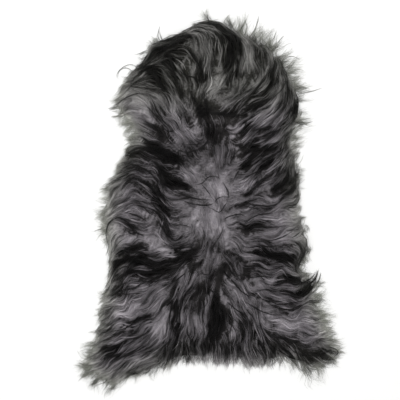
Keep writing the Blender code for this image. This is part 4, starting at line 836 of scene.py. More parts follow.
def combed_paths(coat, x, y, length, steps, curl, swing=0.0, wave=1.0, phase=0.0):
    """Lines that follow the comb from their roots: (n, steps + 1, 2).

    A line's heading is the comb's, turned by swing times the sine of 2 pi s / wave + phase, and
    by curl times the square of the share s of its length.
    """
    path = np.empty((len(x), steps + 1, 2))
    path[:, 0, 0], path[:, 0, 1] = x, y
    for step in range(steps):
        share = (step + 0.5) / steps
        turn = swing * np.sin(2 * np.pi * share * length / wave + phase) + curl * share ** 2
        here = path[:, step]
        cos, sin = read_at(coat.cos, here), read_at(coat.sin, here)
        stride = length / steps / (np.hypot(cos, sin) + 1e-9)
        path[:, step + 1] = here + np.stack(turned(cos, sin, turn), axis=1) * stride[:, None]
    return path


def share_inside(coat, path, overshoot):
    """Share of each line's length that it may run before it is overshoot past the outline."""
    out = read_at(coat.edge, path) > overshoot[:, None]
    out[:, :2] = False
    steps = path.shape[1] - 1
    first = np.where(out.any(axis=1), out.argmax(axis=1), steps + 1)
    return np.clip((first - 0.5) / steps, 0.2, 1.0)


def lock_lines(coat, sizes):
    """Middle lines of the locks, (n, steps + 1, 2), from the same draws each time, with their
    lengths and the shares of them that stay inside the outline."""
    rng = np.random.default_rng(sizes.seed + 1)
    x, y = scattered(rng, coat, sizes.lock_pitch * MM, 20 * MM)
    count = len(x)
    length = read(coat.reach, x, y) * rng.uniform(0.82, 1.16, count)
    swing = sizes.wave_swing * np.clip(read(coat.swing, x, y), 0.3, 1.8) * rng.uniform(0.8, 1.2, count)
    wave = sizes.wave_length * MM * rng.uniform(0.85, 1.25, count)
    phase = read(coat.phase, x, y) * 2.0 + rng.normal(0, 0.5, count)
    path = combed_paths(coat, x, y, length, 24, rng.normal(0, 0.30, count), swing, wave, phase)
    return path, length, share_inside(coat, path, rng.normal(-1, 3, count) * MM)


def even_shares(count, stations):
    """The shares 0 to 1 of a strand's length at its stations, one row for each strand."""
    return np.linspace(0, 1, stations)[None] * np.ones((count, 1))


def shares_between(rng, at, first, last):
    """Shares of a line over which strands run: from a random start to a random stop."""
    start = rng.uniform(*first, len(at)).clip(0, 1)[:, None]
    stop = rng.uniform(*last, len(at)).clip(0, 1)[:, None]
    return start + (stop - start) * at


def along(path, which, shares):
    """Points of the lines at the given shares of their length: path[which] read at (n, k)."""
    steps = path.shape[1] - 1
    at = np.clip(shares * steps, 0, steps - 1e-6)
    low = at.astype(int)
    rest = (at - low)[..., None]
    rows = which[:, None]
    return path[rows, low] * (1 - rest) + path[rows, low + 1] * rest


def beside(path, which, shares, across):
    """Points across metres to the side of the lines, in the floor's plane."""
    run = unit(np.gradient(path, axis=1))
    side = np.stack([-run[..., 1], run[..., 0]], axis=2)
    return along(path, which, shares) + along(side, which, shares) * across[..., None]


def flutter(rng, shares, spread, fastest):
    """A sway to the sides in metres: a random size in millimetres times the sine of the share,
    0.8 to fastest times round, from a random phase."""
    column = (len(shares), 1)
    size = rng.normal(0, spread, column) * MM
    turn = 2 * np.pi * shares * rng.uniform(0.8, fastest, column)
    return size * np.sin(turn + rng.uniform(0, FULL_TURN, column))


def tapered(width, at, root, tip):
    """Half widths that rise from the share root over the first quarter of a strand and lose the
    share tip of it by its end, as the square of the share run."""
    return width * (root + (1 - root) * eased(at / 0.25)) * (1 - tip * at ** 2)


def height_on_coat(coat, points, at, low, high, lift):
    """Heights for stations on the coat: from the share low of its depth at the root to high by a
    third of the length, lifted by a small swell over the middle."""
    depth = read_at(coat.depth, points)
    rise = low + (high - low) * eased(at / 0.33)
    return depth * rise + lift * np.sin(np.pi * at.clip(0, 1)) * np.clip(depth / (20 * MM), 0, 1)


def tuft_mesh(name, spine, width, depth, profile, values):
    """A mesh of closed tufts: the profile is carried along every spine, (n, k, 3).

    The profile's points are (side, lift), counter-clockwise seen from the root, scaled by width
    and depth at each station. The first and last stations are single points. values are named
    numbers for every station, kept as attributes. Every tuft has its own cell of the first map,
    and a second map runs along it and across it in shares of its length and girth.
    """
    count, stations, _ = spine.shape
    sides, rings = len(profile), stations - 2
    run = unit(np.gradient(spine, axis=1))
    side = unit(np.stack([run[..., 1], -run[..., 0], np.zeros(run.shape[:2])], axis=2))
    lift = np.cross(side, run)
    out = (side[:, 1:-1, None] * profile[:, 0, None] * width[:, 1:-1, None, None]
           + lift[:, 1:-1, None] * profile[:, 1, None] * depth[:, 1:-1, None, None])
    ring_points = (spine[:, 1:-1, None] + out).reshape(count, rings * sides, 3)
    points = np.concatenate([spine[:, :1], ring_points, spine[:, -1:]], axis=1)

    # faces of one tuft: a fan at either end, then bands of quads, with their places on the map
    near = np.arange(sides)
    after = (near + 1) % sides
    per_tuft = 2 + rings * sides
    last_ring = 1 + (rings - 1) * sides
    faces = [np.stack([0 * near, 1 + near, 1 + after], 1),
             np.stack([0 * near + per_tuft - 1, last_ring + after, last_ring + near], 1)]
    girth = [np.stack([near + 0.5, near, near + 1], 1), np.stack([near + 0.5, near + 1, near], 1)]
    rows = [(0, 1, 1), (stations - 1, rings, rings)]
    for ring in range(1, rings):
        low = 1 + (ring - 1) * sides
        high = low + sides
        faces.append(np.stack([low + near, high + near, high + after, low + after], 1))
        girth.append(np.stack([near, near, near + 1, near + 1], 1))
        rows.append((ring, ring + 1, ring + 1, ring))
    loops = np.concatenate([face.ravel() for face in faces])
    across = np.concatenate([share.ravel() for share in girth]) / sides
    lengthwise = np.concatenate([np.tile(row, sides) for row in rows]) / (stations - 1)
    corners = np.tile(np.repeat([3, 4], [2 * sides, (rings - 1) * sides]), count)

    mesh = bpy.data.meshes.new(name)
    mesh.vertices.add(count * per_tuft)
    mesh.vertices.foreach_set("co", points.ravel())
    mesh.loops.add(count * len(loops))
    vertex = (np.arange(count)[:, None] * per_tuft + loops).ravel()
    mesh.loops.foreach_set("vertex_index", vertex.astype(np.int32))
    mesh.polygons.add(len(corners))
    first = np.concatenate([[0], np.cumsum(corners)[:-1]])
    mesh.polygons.foreach_set("loop_start", first.astype(np.int32))
    mesh.polygons.foreach_set("loop_total", corners.astype(np.int32))
    mesh.polygons.foreach_set("use_smooth", np.ones(len(corners), dtype=bool))

    tuft = np.arange(count)[:, None]
    cells = math.ceil(math.sqrt(count))
    gap = 0.08        # share of a cell that is kept free at either side
    cell = ((tuft % cells + gap + (1 - 2 * gap) * lengthwise) / cells,
            (tuft // cells + gap + (1 - 2 * gap) * across) / cells)
    for key, uv in (("OFBake", cell), ("Grain", (lengthwise + tuft * 1.37, across + tuft * 0.61))):
        layer = mesh.uv_layers.new(name=key)
        layer.data.foreach_set("uv", np.stack(uv, 2).astype(np.float32).ravel())
    for key, stationed in values.items():
        ringed = np.repeat(stationed[:, 1:-1], sides, axis=1)
        whole = np.concatenate([stationed[:, :1], ringed, stationed[:, -1:]], axis=1).astype(np.float32)
        mesh.attributes.new(key, "FLOAT", "POINT").data.foreach_set("value", whole.ravel())
    mesh.update(calc_edges=True)
    mesh.validate()
    return mesh


def strands(name, coat, points, height, width, tone, swells=True, flat=0.8, full_cast=1.0):
    """A mesh of strands over the floor's points, (n, k, 2), each flat times as deep as wide. They
    move with the swell of the rim, keep off the floor by their own width, and take the olive cast
    of their place as a share of full_cast."""
    place = coat.swollen(points) if swells else points
    spine = np.concatenate([place, np.maximum(height, width * 0.6)[..., None]], axis=2)
    values = {"tone": tone, "cast": read_at(coat.cast, points) / full_cast}
    return tuft_mesh(name, spine, width, width * flat, STRAND_PROFILE, values)


def combed_layer(coat, sizes, layer):
    """One layer of fine strands. Every lock has three clumps, and a strand keeps to its clump's
    offset from the lock's line and to its shade. A clump draws in towards the lock's tip, and a
    strand's height rises from the root to the top of the coat."""
    rng = np.random.default_rng(sizes.seed + 20 + layer)
    path, length, inside = lock_lines(coat, sizes)
    count, stations = sizes.layer_strands, 7
    which = rng.integers(0, len(path), count)
    at = even_shares(count, stations)
    shares = shares_between(rng, at, first=(0, 0.22), last=(0.78, 1.0))
    overshoot = rng.uniform(0, 0.4, count) * read_at(coat.rim, path[which, -1])
    shares = shares * np.minimum(inside[which] + overshoot / length[which], 1.0)[:, None]

    clumps = np.random.default_rng(sizes.seed + 3)
    places = clumps.normal(0, 0.55, (len(path), 3)).clip(-1.2, 1.2)
    gathers = clumps.uniform(0.15, 0.85, places.shape)
    shades = clumps.normal(0.03, 0.08, places.shape)
    darker = clumps.uniform(0.12, 0.40, places.shape)
    shades = shades - darker * (clumps.uniform(size=places.shape) < 0.16)
    clump = rng.integers(0, 3, count)
    offset = (places[which, clump] + rng.normal(0, 0.09, count))[:, None]
    gather = gathers[which, clump][:, None]
    half = sizes.lock_width * MM * 0.62
    across = offset * half * (1 - gather * eased(at)) + flutter(rng, at, spread=0.6, fastest=2.0) * at
    points = beside(path, which, shares, across)

    depth = read_at(coat.depth, points)
    level = (layer + 0.5) / sizes.layers - 0.5
    dome = (1 - (across / (half * 1.2)) ** 2).clip(0, 1) * 4.0 * MM
    rise = 0.42 + 0.46 * eased(at / 0.42) - 0.10 * eased((at - 0.75) / 0.25)
    height = depth * rise + (dome - 3 * MM + level * 5 * MM) * np.clip(depth / (30 * MM), 0, 1)
    width = sizes.strand_width * MM * 0.5 * rng.uniform(0.55, 1.35, (count, 1))

    own = read_at(coat.tone, points)
    middle = own[:, stations // 2][:, None]
    uneven = shades[which, clump][:, None] + rng.normal(0, 0.08, (count, 1))
    tone = 0.6 * own + 0.4 * middle + uneven * (1 - CALMED * read_at(coat.felted, points))
    # Darker over the first third, at the root deep in the coat: painted shade. Darker over the last two
    # fifths: the hair's dark tips.
    tone = tone - 0.10 * (1 - eased(at / 0.3)) - 0.06 * eased((at - 0.6) / 0.4)
    tone = tone + 0.05 * read_at(coat.mottle, points)
    width = tapered(width, at, root=0.7, tip=0.75)
    return strands(f"combed_hair_{layer + 1}", coat, points, height, width, tone)


def charted_wisps(coat, sizes):
    """The dark wisps of WISPS: strands side by side along each curve, which start and stop at
    different shares of it, so that the wisp tapers to both ends."""
    rng = np.random.default_rng(sizes.seed + 30)
    steps, stations = 24, 9
    curves = np.array([curve_through(wisp.places, steps + 1) for wisp in WISPS]) * UNIT
    widths, tones = np.array([(wisp.width, wisp.tone) for wisp in WISPS]).T
    which = np.repeat(np.arange(len(WISPS)), np.rint(4 + 2.0 * widths).astype(int))
    count = len(which)
    at = even_shares(count, stations)
    shares = shares_between(rng, at, first=(-0.05, 0.35), last=(0.72, 1.08))
    offset = rng.normal(0, 0.45, count).clip(-1, 1)[:, None]
    spread = (widths[which] * 0.5 * MM)[:, None] * (0.35 + np.sin(np.pi * shares.clip(0, 1) ** 0.8))
    across = offset * spread + flutter(rng, shares, spread=0.7, fastest=1.8)
    points = beside(curves, which, shares, across)
    fine = (widths < FINE_WISP)[which][:, None]
    height = height_on_coat(coat, points, at, low=0.78, high=0.95, lift=(4.5 + 3.5 * fine) * MM)
    height = height + rng.uniform(0, 2.0, (count, 1)) * MM
    width = sizes.strand_width * MM * 0.5 * rng.uniform(0.7, 1.2, (count, 1))
    bare = np.clip(read_at(coat.edge, points) / (8 * MM), 0, 1) * fine
    width = tapered(width, at, root=0.6, tip=0.8) * (1 - 0.5 * bare)
    tone = tones[which][:, None] + rng.normal(0, 0.04, (count, 1)) + 0.22 * bare
    tone = tone + (read_at(coat.tone, points) - tone) * 0.6 * (1 - eased(at / 0.25))
    return strands("dark_wisps", coat, points, height, width, tone, swells=False)


def lock_tips(coat, sizes):
    """Dark tips of the outer hair: a few strands drawn together along the outer part of a lock."""
    rng = np.random.default_rng(sizes.seed + 35)
    path, _, inside = lock_lines(coat, sizes)
    chosen = rng.permutation(len(path))[: sizes.tips]
    each, stations = 5, 8
    which = np.repeat(chosen, each)
    count = len(which)
    at = even_shares(count, stations)
    centre = np.repeat(rng.normal(0, 4.5, len(chosen)), each)[:, None] * MM
    shares = shares_between(rng, at, first=(0.10, 0.40), last=(0.85, 1.0)) * inside[which][:, None]
    across = centre + rng.normal(0, 2.2, (count, 1)) * MM * (1 - 0.85 * eased(at))
    points = beside(path, which, shares, across)
    height = height_on_coat(coat, points, at, low=0.70, high=0.92, lift=4.5 * MM)
    height = height + rng.uniform(0, 2.0, (count, 1)) * MM
    width = sizes.strand_width * MM * 0.45 * rng.uniform(0.7, 1.2, (count, 1))
    darker = np.repeat(rng.uniform(0.08, 0.30, len(chosen)), each)[:, None]
    tone = read_at(coat.tone, points) - darker * eased(at / 0.5) + rng.normal(0, 0.03, (count, 1))
    return strands("lock_tips", coat, points, height, tapered(width, at, root=0.6, tip=0.8), tone)


def rim_cover(coat, sizes):
    """Strands that close the coat over its rim: rooted 6 to 34 mm inside the outline and combed
    out to it."""
    rng = np.random.default_rng(sizes.seed + 37)
    inmost, outmost = 34 * MM, 6 * MM
    x, y = scattered(rng, coat, sizes.rim_pitch * MM, outmost)
    near = read(coat.edge, x, y) > -inmost
    x, y = x[near], y[near]
    count, stations = len(x), 5
    length = rng.uniform(36, 62, count) * MM
    path = combed_paths(coat, x, y, length, 14, rng.normal(0, 0.35, count))
    overshoot = rng.normal(0, 2, count) * MM + rng.uniform(0, 0.4, count) * read(coat.rim, x, y)
    at = even_shares(count, stations)
    points = along(path, np.arange(count), at * share_inside(coat, path, overshoot)[:, None])
    width = sizes.strand_width * MM * 0.6 * rng.uniform(0.6, 1.3, (count, 1)) * (1 - 0.6 * at ** 3)
    rise = 0.30 + rng.uniform(0.25, 0.62, (count, 1)) * eased(at / 0.4)
    off_floor = width * 0.6 + rng.uniform(0, 3, (count, 1)) * MM
    height = np.maximum(read_at(coat.depth, points) * rise, off_floor)
    tone = read_at(coat.tone, points) + rng.normal(0, 0.07, (count, 1))
    return strands("rim_cover", coat, points, height, width, tone)


def fringe_wisps(coat, sizes, rng, each):
    """Wisps of the fringes: a row for every wisp with its root, inset from the outline, its
    heading, swing, wave, phase and curl, and its length."""
    fringes = np.array(FRINGES, dtype=float)
    run = np.repeat(np.arange(len(fringes)), np.ceil(fringes[:, 6] * sizes.rim_share / each).astype(int))
    x0, y0, x1, y1, heading, length = fringes[run, :6].T
    count = len(run)
    share = rng.uniform(size=count)
    x, y = (x0 + (x1 - x0) * share) * UNIT, (y0 + (y1 - y0) * share) * UNIT
    inset = rng.uniform(4, 14, count) * MM
    for _ in range(3):
        move = read(coat.edge, x, y) + inset
        x, y = x - move * read(coat.out_x, x, y), y - move * read(coat.out_y, x, y)
    heading = np.radians(heading) + rng.normal(0, 0.30, count)
    swing = rng.uniform(0.1, 0.6, count) * np.clip(length / 30, 0.3, 1.2)
    wave = rng.uniform(0.7, 1.8, count) * 2 * np.pi
    phase, curl = rng.uniform(0, FULL_TURN, count), rng.normal(0, 0.35, count)
    length = length * MM * rng.uniform(0.55, 1.35, count) + inset
    return np.stack([x, y], axis=1), heading, swing, wave, phase, curl, length


def rim_hair(coat, sizes):
    """Fine hairs round the rim, from just inside the outline outwards, drawn together in wisps of
    six: each wisp bends on its own curl, and its hairs close up towards its tip."""
    rng = np.random.default_rng(sizes.seed + 40)
    each, steps, stations = 6, 10, 5
    root, heading, swing, wave, phase, curl, length = fringe_wisps(coat, sizes, rng, each)
    wisps = len(root)
    which = np.repeat(np.arange(wisps), each)
    count = len(which)
    column = (count, 1)
    at = (np.arange(steps) + 0.5)[None] / steps
    bend = (heading + rng.normal(0, 0.25, wisps))[which][:, None] + rng.normal(0, 0.10, column)
    bend = bend + swing[which][:, None] * np.sin(wave[which][:, None] * at + phase[which][:, None])
    bend = bend + curl[which][:, None] * at ** 2
    stride = (length[which] * rng.uniform(0.5, 1.0, count) / steps)[:, None]
    run = np.stack([np.cos(bend), np.sin(bend)], axis=2) * stride[..., None]
    path = np.concatenate([np.zeros((count, 1, 2)), np.cumsum(run, axis=1)], axis=1) + root[which][:, None]
    at = even_shares(count, stations)
    points = beside(path, np.arange(count), at, rng.normal(0, 4.2, column) * MM * (1 - 0.75 * at))
    width = 0.26 * MM * rng.uniform(0.6, 1.4, column) * (1 - 0.7 * at ** 2)
    low = rng.uniform(0.3, 0.9, column)
    tail = rng.uniform(1, 12, column) * MM * (1 - at * 0.8)
    height = np.maximum(read_at(coat.depth, points) * low, tail * eased(at / 0.4)) + width * 0.6
    shade = rng.uniform(0.04, 0.42, wisps)[which][:, None] + rng.normal(0, 0.04, column)
    tone = 0.5 * read_at(coat.tone, points) + shade + 0.08 * at
    return strands("rim_hair", coat, points, height, width, tone, flat=1.0, full_cast=RIM_CAST)


# ---- Hide and undercoat: patches between four curved sides ----

def curve_through(places, count):
    """count points on a Catmull-Rom curve through the places, x and y in turn, at even shares of
    its length."""
    knots = np.reshape(places, (-1, 2)).astype(float)
    ends = np.vstack([2 * knots[0] - knots[1], knots, 2 * knots[-1] - knots[-2]])
    samples = 400
    s = np.linspace(0, len(knots) - 1 - 1e-9, samples)
    i = s.astype(int)
    t = (s - i)[:, None]
    a, b, c, d = ends[i], ends[i + 1], ends[i + 2], ends[i + 3]
    curve = 0.5 * (2 * b + (c - a) * t + (2 * a - 5 * b + 4 * c - d) * t ** 2
                   + (3 * b - a - 3 * c + d) * t ** 3)
    far = np.concatenate([[0], np.cumsum(np.linalg.norm(np.diff(curve, axis=0), axis=1))])
    even = np.linspace(0, far[-1], count)
    return np.stack([np.interp(even, far, curve[:, 0]), np.interp(even, far, curve[:, 1])], axis=1)


def pushed_out(coat, curve, inset):
    """The curve's points moved straight outwards until they lie inset inside the broad outline,
    which passes over single locks."""
    slope_y, slope_x = np.gradient(blurred(coat.broad_edge, 2))
    rounds, share = 6, 0.6        # each round goes that share of the way
    for _ in range(rounds):
        way = np.stack([read_at(slope_x, curve), read_at(slope_y, curve)], axis=1)
        way /= np.linalg.norm(way, axis=1, keepdims=True) + 1e-9
        curve = curve - way * (read_at(coat.broad_edge, curve) + inset)[:, None] * share
    return curve


def skin_patch(columns, rows, coat=None, inset=0.0):
    """Plan of the skin, (rows, columns, 2) in metres: a Coons patch of its four sides.

    It is the blend of left and right, plus the blend of bottom and top, less the blend of the
    four corners. With a coat, the sides are first pushed out to the outline.
    """
    sides = [curve_through(places, count) * UNIT for places, count in (
        (HIDE_LEFT, rows), (HIDE_RIGHT, rows), (HIDE_BOTTOM, columns), (HIDE_TOP, columns))]
    if coat:
        sides = [pushed_out(coat, curve, inset) for curve in sides]
    left, right, bottom, top = sides
    u = np.linspace(0, 1, columns)[None, :, None]
    v = np.linspace(0, 1, rows)[:, None, None]
    sides = left[:, None] * (1 - u) + right[:, None] * u
    ends = bottom[None] * (1 - v) + top[None] * v
    corners = ((bottom[0] * (1 - u) + bottom[-1] * u) * (1 - v) + (top[0] * (1 - u) + top[-1] * u) * v)
    return sides + ends - corners


def rim_of(grid):
    """The outermost knots of a grid, once round it."""
    return np.concatenate([grid[0], grid[1:, -1], grid[-1, -2::-1], grid[-2:0:-1, 0]])


def slab_mesh(name, plan, low, high, values):
    """A closed slab over a plan grid: its underside, its top, and a wall round its edge.

    low and high are heights for every knot of the grid, and values are named numbers for it.
    """
    rows, columns, _ = plan.shape
    count = rows * columns
    points = [np.concatenate([plan, height[..., None]], axis=2).reshape(-1, 3) for height in (low, high)]
    index = np.arange(count).reshape(rows, columns)
    a, b, c, d = index[:-1, :-1], index[:-1, 1:], index[1:, 1:], index[1:, :-1]
    top = np.stack([a, b, c, d], axis=2).reshape(-1, 4) + count
    bottom = np.stack([a, d, c, b], axis=2).reshape(-1, 4)
    rim = rim_of(index)
    after = np.roll(rim, -1)
    wall = np.stack([rim, after, after + count, rim + count], axis=1)
    mesh = bpy.data.meshes.new(name)
    mesh.from_pydata(np.vstack(points).tolist(), [], np.vstack([top, bottom, wall]).tolist())
    mesh.polygons.foreach_set("use_smooth", np.ones(len(mesh.polygons), dtype=bool))
    for key, knots in values.items():
        both = np.tile(knots.ravel(), 2).astype(np.float32)
        mesh.attributes.new(key, "FLOAT", "POINT").data.foreach_set("value", both)
    mesh.update()
    return mesh


# ---- Materials ----

def linear(hex_value):
    """An sRGB hex colour as linear red, green, blue and alpha."""
    parts = [int(hex_value[i:i + 2], 16) / 255 for i in (1, 3, 5)]
    return [p / 12.92 if p <= 0.04045 else ((p + 0.055) / 1.055) ** 2.4 for p in parts] + [1.0]


def add_node(tree, kind, links=None, stops=(), **settings):
    """Adds a node. settings are its inputs by name, or its own properties; links go from an
    input's name or number to another node's output; stops are the (place, hex colour) pairs of a
    colour ramp."""
    node = tree.nodes.new(kind)
    for key, value in settings.items():
        name = key.replace("_", " ")
        if name in node.inputs:
            node.inputs[name].default_value = value
        else:
            setattr(node, key, value)
    for key, output in (links or {}).items():
        tree.links.new(output, node.inputs[key])
    if stops:
        elements = node.color_ramp.elements
        for _ in range(len(stops) - len(elements)):
            elements.new(0.5)
        for element, (place, colour) in zip(elements, stops):
            element.position, element.color = place, linear(colour)
    return node


def new_material(name, **surface):
    """A material, its tree, and its principled shader with surface as settings."""
    material = bpy.data.materials.new(name)
    material.use_nodes = True
    tree = material.node_tree
    tree.nodes.clear()
    shader = add_node(tree, "ShaderNodeBsdfPrincipled", **surface)
    add_node(tree, "ShaderNodeOutputMaterial", {"Surface": shader.outputs["BSDF"]})
    return material, tree, shader


def wool_colour(tree, pattern, contrast, middle, colours):
    """Colour of the wool. The tone attribute chooses between black outer hair and pale undercoat,
    shifted by contrast where the pattern departs from middle, and the cast attribute turns grey
    towards the olive of the rim, where the tips are bleached."""
    tone, cast = (add_node(tree, "ShaderNodeAttribute", attribute_name=key).outputs["Fac"]
                  for key in ("tone", "cast"))
    shift = add_node(tree, "ShaderNodeMath", {0: pattern}, operation="MULTIPLY_ADD")
    shift.inputs[1].default_value, shift.inputs[2].default_value = contrast, -contrast * middle
    toned = {"Fac": add_node(tree, "ShaderNodeMath", {0: tone, 1: shift.outputs[0]}, operation="ADD",
                             use_clamp=True).outputs[0]}
    inner = add_node(tree, "ShaderNodeValToRGB", toned, stops=(
        (0.0, colours.black_hair), (0.30, colours.dark_hair), (0.72, colours.grey_hair),
        (1.0, colours.pale_hair)))
    outer = add_node(tree, "ShaderNodeValToRGB", toned, stops=(
        (0.0, colours.black_hair), (0.34, colours.rim_dark), (1.0, colours.rim_pale)))
    return add_node(tree, "ShaderNodeMix", {0: cast, 6: inner.outputs["Color"], 7: outer.outputs["Color"]},
                    data_type="RGBA").outputs[2]


def wool_material(name, colours, streaks, roughness, strength):
    """Sheep's wool, keratin with a soft lustre. Streaks across each tuft stand for single hairs of
    about 0.1 mm, drawn as coarse as they need to show."""
    material, tree, shader = new_material(name, Roughness=roughness, IOR=1.55, Specular_IOR_Level=0.12)
    grain = add_node(tree, "ShaderNodeUVMap", uv_map="Grain").outputs["UV"]
    stretch = add_node(tree, "ShaderNodeMapping", {"Vector": grain}, Scale=(1.6, streaks, 1.0))
    hairs = add_node(tree, "ShaderNodeTexNoise", {"Vector": stretch.outputs["Vector"]},
                     noise_dimensions="2D", Scale=1.0, Detail=2.0, Roughness=0.6).outputs["Fac"]
    ridge = add_node(tree, "ShaderNodeBump", {"Height": hairs}, Strength=strength, Distance=0.4 * MM)
    tree.links.new(wool_colour(tree, hairs, 0.34, 0.5, colours), shader.inputs["Base Color"])
    tree.links.new(ridge.outputs["Normal"], shader.inputs["Normal"])
    return material


def undercoat_material(colours):
    """Soft woolly undercoat, matted fine fibre: matt and mealy, with no single hair to be seen."""
    material, tree, shader = new_material("matted_undercoat_wool", Roughness=0.9, IOR=1.5,
                                          Specular_IOR_Level=0.1)
    place = add_node(tree, "ShaderNodeTexCoord").outputs["Object"]
    felt = add_node(tree, "ShaderNodeTexNoise", {"Vector": place}, Scale=1 / (5 * MM), Detail=6.0,
                    Roughness=0.7).outputs["Fac"]
    ridge = add_node(tree, "ShaderNodeBump", {"Height": felt}, Strength=0.8, Distance=2 * MM)
    tree.links.new(wool_colour(tree, felt, 0.6, 0.6, colours), shader.inputs["Base Color"])
    tree.links.new(ridge.outputs["Normal"], shader.inputs["Normal"])
    return material


def suede_material(colours):
    """Chrome-tanned sheepskin, buffed on the flesh side: a matt nap with faint cloudy patches."""
    material, tree, shader = new_material("tanned_suede", Roughness=0.92, IOR=1.5)
    place = add_node(tree, "ShaderNodeTexCoord").outputs["Object"]
    cloud = add_node(tree, "ShaderNodeTexNoise", {"Vector": place}, Scale=1 / (90 * MM),
                     Detail=3.0).outputs["Fac"]
    nap = add_node(tree, "ShaderNodeTexNoise", {"Vector": place}, Scale=1 / (1.2 * MM), Detail=4.0,
                   Roughness=0.65).outputs["Fac"]
    patches = add_node(tree, "ShaderNodeValToRGB", {"Fac": cloud},
                       stops=((0.3, colours.suede_shade), (0.7, colours.suede)))
    ridge = add_node(tree, "ShaderNodeBump", {"Height": nap}, Strength=0.5, Distance=0.4 * MM)
    tree.links.new(patches.outputs["Color"], shader.inputs["Base Color"])
    tree.links.new(ridge.outputs["Normal"], shader.inputs["Normal"])
    return material


def floor_material(colour):
    """Matt painted studio floor, without a pattern."""
    return new_material("matt_painted_floor", Base_Color=linear(colour), Roughness=0.9, IOR=1.4)[0]


# ---- Operators ----

_charts = {}


def charts(scene):
    """The charts of the coat, worked out once."""
    if "coat" not in _charts:
        _charts["coat"] = Coat(scene.coat_sizes)
    return _charts["coat"]


def place_piece(mesh, material):
    """Puts a mesh into the scene as a piece of the rug that takes the place of the solid pelt."""
    if len(mesh.polygons) == 0:
        raise RuntimeError(f"{mesh.name}: no faces were made")
    mesh.materials.append(material)
    piece = bpy.data.objects.new(mesh.name, mesh)
    bpy.context.scene.collection.objects.link(piece)
    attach(piece, "root")
    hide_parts("pelt")
    return piece


class SHEEPSKIN_OT_hide(bpy.types.Operator):
    """Lay the tanned skin on the floor"""

    bl_idname = "sheepskin.hide"
    bl_label = "Hide"

    def execute(self, context):
        columns, rows = 36, 56
        plan = skin_patch(columns, rows)
        ground = np.zeros(plan.shape[:2])
        mesh = slab_mesh("hide", plan, ground, ground + context.scene.coat_sizes.hide_thickness * MM, {})
        piece = place_piece(mesh, suede_material(context.scene.coat_colours))
        return {"FINISHED"}


class SHEEPSKIN_OT_undercoat(bpy.types.Operator):
    """Fill the depth of the coat with soft undercoat"""

    bl_idname = "sheepskin.undercoat"
    bl_label = "Undercoat"

    def execute(self, context):
        coat = charts(context.scene)
        columns, rows = 64, 92
        gap, thinnest, share, kept_under = 0.3 * MM, 2 * MM, 0.64, 4 * MM
        plan = skin_patch(columns, rows, coat, inset=9 * MM)
        low = np.full(plan.shape[:2], context.scene.coat_sizes.hide_thickness * MM + gap)
        from_ends, from_sides = (np.minimum(np.arange(n), np.arange(n)[::-1]) for n in (rows, columns))
        inset = (np.minimum.outer(from_ends, from_sides) / 2).clip(0, 1)
        full = (read_at(blurred(coat.depth, 3), plan) * share - kept_under).clip(0)
        # The undercoat takes the coat's tone a little darker, by 0.94: painted shade under the hair.
        values = {"tone": read_at(coat.tone, plan) * 0.94, "cast": read_at(coat.cast, plan)}
        high = low + thinnest + full * eased(inset)
        mesh = slab_mesh("undercoat", coat.swollen(plan), low, high, values)
        place_piece(mesh, undercoat_material(context.scene.coat_colours))
        return {"FINISHED"}


class SHEEPSKIN_OT_combed_hair(bpy.types.Operator):
    """Lay the layers of combed hair over the undercoat, and the cover over the rim"""

    bl_idname = "sheepskin.combed_hair"
    bl_label = "Combed hair"

    def execute(self, context):
        coat, sizes = charts(context.scene), context.scene.coat_sizes
        colours = context.scene.coat_colours
        wool = wool_material("combed_outer_hair", colours, streaks=3.0, roughness=0.48, strength=0.5)
        for layer in range(sizes.layers):
            place_piece(combed_layer(coat, sizes, layer), wool)
        place_piece(rim_cover(coat, sizes), wool)
        return {"FINISHED"}


class SHEEPSKIN_OT_dark_wisps(bpy.types.Operator):
    """Lay the dark tips of the locks and the dark wisps on the coat"""

    bl_idname = "sheepskin.dark_wisps"
    bl_label = "Dark wisps"

    def execute(self, context):
        colours = context.scene.coat_colours
        wool = wool_material("glossy_outer_hair", colours, streaks=3.0, roughness=0.42, strength=0.5)
        for make in (lock_tips, charted_wisps):
            place_piece(make(charts(context.scene), context.scene.coat_sizes), wool)
        return {"FINISHED"}


class SHEEPSKIN_OT_rim_hair(bpy.types.Operator):
    """Grow the fine hair round the rim"""

    bl_idname = "sheepskin.rim_hair"
    bl_label = "Rim hair"

    def execute(self, context):
        mesh = rim_hair(charts(context.scene), context.scene.coat_sizes)
        colours = context.scene.coat_colours
        wool = wool_material("fine_rim_hair", colours, streaks=2.0, roughness=0.5, strength=0.2)
        place_piece(mesh, wool)
        return {"FINISHED"}


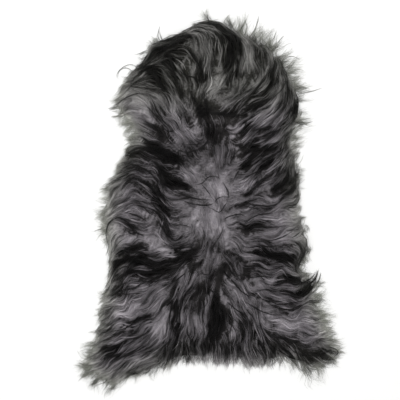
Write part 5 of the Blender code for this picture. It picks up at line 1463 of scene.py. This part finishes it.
class SHEEPSKIN_OT_stage(bpy.types.Operator):
    """Set the floor, the light and the camera"""

    bl_idname = "sheepskin.stage"
    bl_label = "Stage"

    def execute(self, context):
        scene, look = context.scene, context.scene.stage_look
        half = 6.0        # metres from the middle of the floor to its sides
        corners = [(-half, -half, 0), (half, -half, 0), (half, half, 0), (-half, half, 0)]
        mesh = bpy.data.meshes.new("floor")
        mesh.from_pydata(corners, [], [(0, 1, 2, 3)])
        mesh.materials.append(floor_material(look.floor))
        floor = bpy.data.objects.new("floor", mesh)
        scene.collection.objects.link(floor)

        world = bpy.data.worlds.new("even_white_room")
        world.use_nodes = True
        background = world.node_tree.nodes["Background"]
        background.inputs["Color"].default_value = (1, 1, 1, 1)
        background.inputs["Strength"].default_value = look.sky
        scene.world = world

        lamp = bpy.data.lights.new("softbox", "AREA")
        lamp.shape, lamp.size, lamp.energy = "DISK", 2.2, look.softbox
        softbox = bpy.data.objects.new("softbox", lamp)
        softbox.location = (-0.9, 1.1, 2.6)
        softbox.rotation_mode = "QUATERNION"
        softbox.rotation_quaternion = (-Vector(softbox.location)).to_track_quat("-Z", "Y")
        scene.collection.objects.link(softbox)

        lens = bpy.data.cameras.new("camera")
        fleece = 0.5 * PELT_HIGH.z
        lens.sensor_width = 36.0
        lens.lens = lens.sensor_width * (look.camera_height - fleece) / look.field
        lens.clip_start, lens.clip_end = 0.05, 50.0
        camera = bpy.data.objects.new("camera", lens)
        camera.location = (look.aim[0], look.aim[1], look.camera_height)
        scene.collection.objects.link(camera)
        scene.camera = camera
        scene.view_settings.view_transform = "Standard"
        return {"FINISHED"}


class SHEEPSKIN_PT_panel(bpy.types.Panel):
    """Lists the steps of dressing the rug and their sizes and colours"""

    bl_idname = "SHEEPSKIN_PT_panel"
    bl_label = "Sheepskin"
    bl_space_type = "VIEW_3D"
    bl_region_type = "UI"
    bl_category = "Sheepskin"

    def draw(self, context):
        for step in STEPS:
            self.layout.operator(step.bl_idname)
        for key in GROUPS:
            group = getattr(context.scene, key)
            box = self.layout.box()
            for setting in group.__annotations__:
                box.prop(group, setting)


STEPS = (SHEEPSKIN_OT_hide, SHEEPSKIN_OT_undercoat, SHEEPSKIN_OT_combed_hair, SHEEPSKIN_OT_dark_wisps,
         SHEEPSKIN_OT_rim_hair, SHEEPSKIN_OT_stage)
GROUPS = {"coat_sizes": CoatSizes, "coat_colours": CoatColours, "stage_look": StageLook}
CLASSES = (*GROUPS.values(), *STEPS, SHEEPSKIN_PT_panel)


def register():
    for cls in CLASSES:
        bpy.utils.register_class(cls)
    for key, group in GROUPS.items():
        setattr(bpy.types.Scene, key, PointerProperty(type=group))


def unregister():
    for key in GROUPS:
        delattr(bpy.types.Scene, key)
    for cls in reversed(CLASSES):
        bpy.utils.unregister_class(cls)


def main():
    register()
    bpy.ops.sheepskin.hide()
    bpy.ops.sheepskin.undercoat()
    bpy.ops.sheepskin.combed_hair()
    bpy.ops.sheepskin.dark_wisps()
    bpy.ops.sheepskin.rim_hair()
    bpy.ops.sheepskin.stage()


if __name__ == "__main__":
    main()
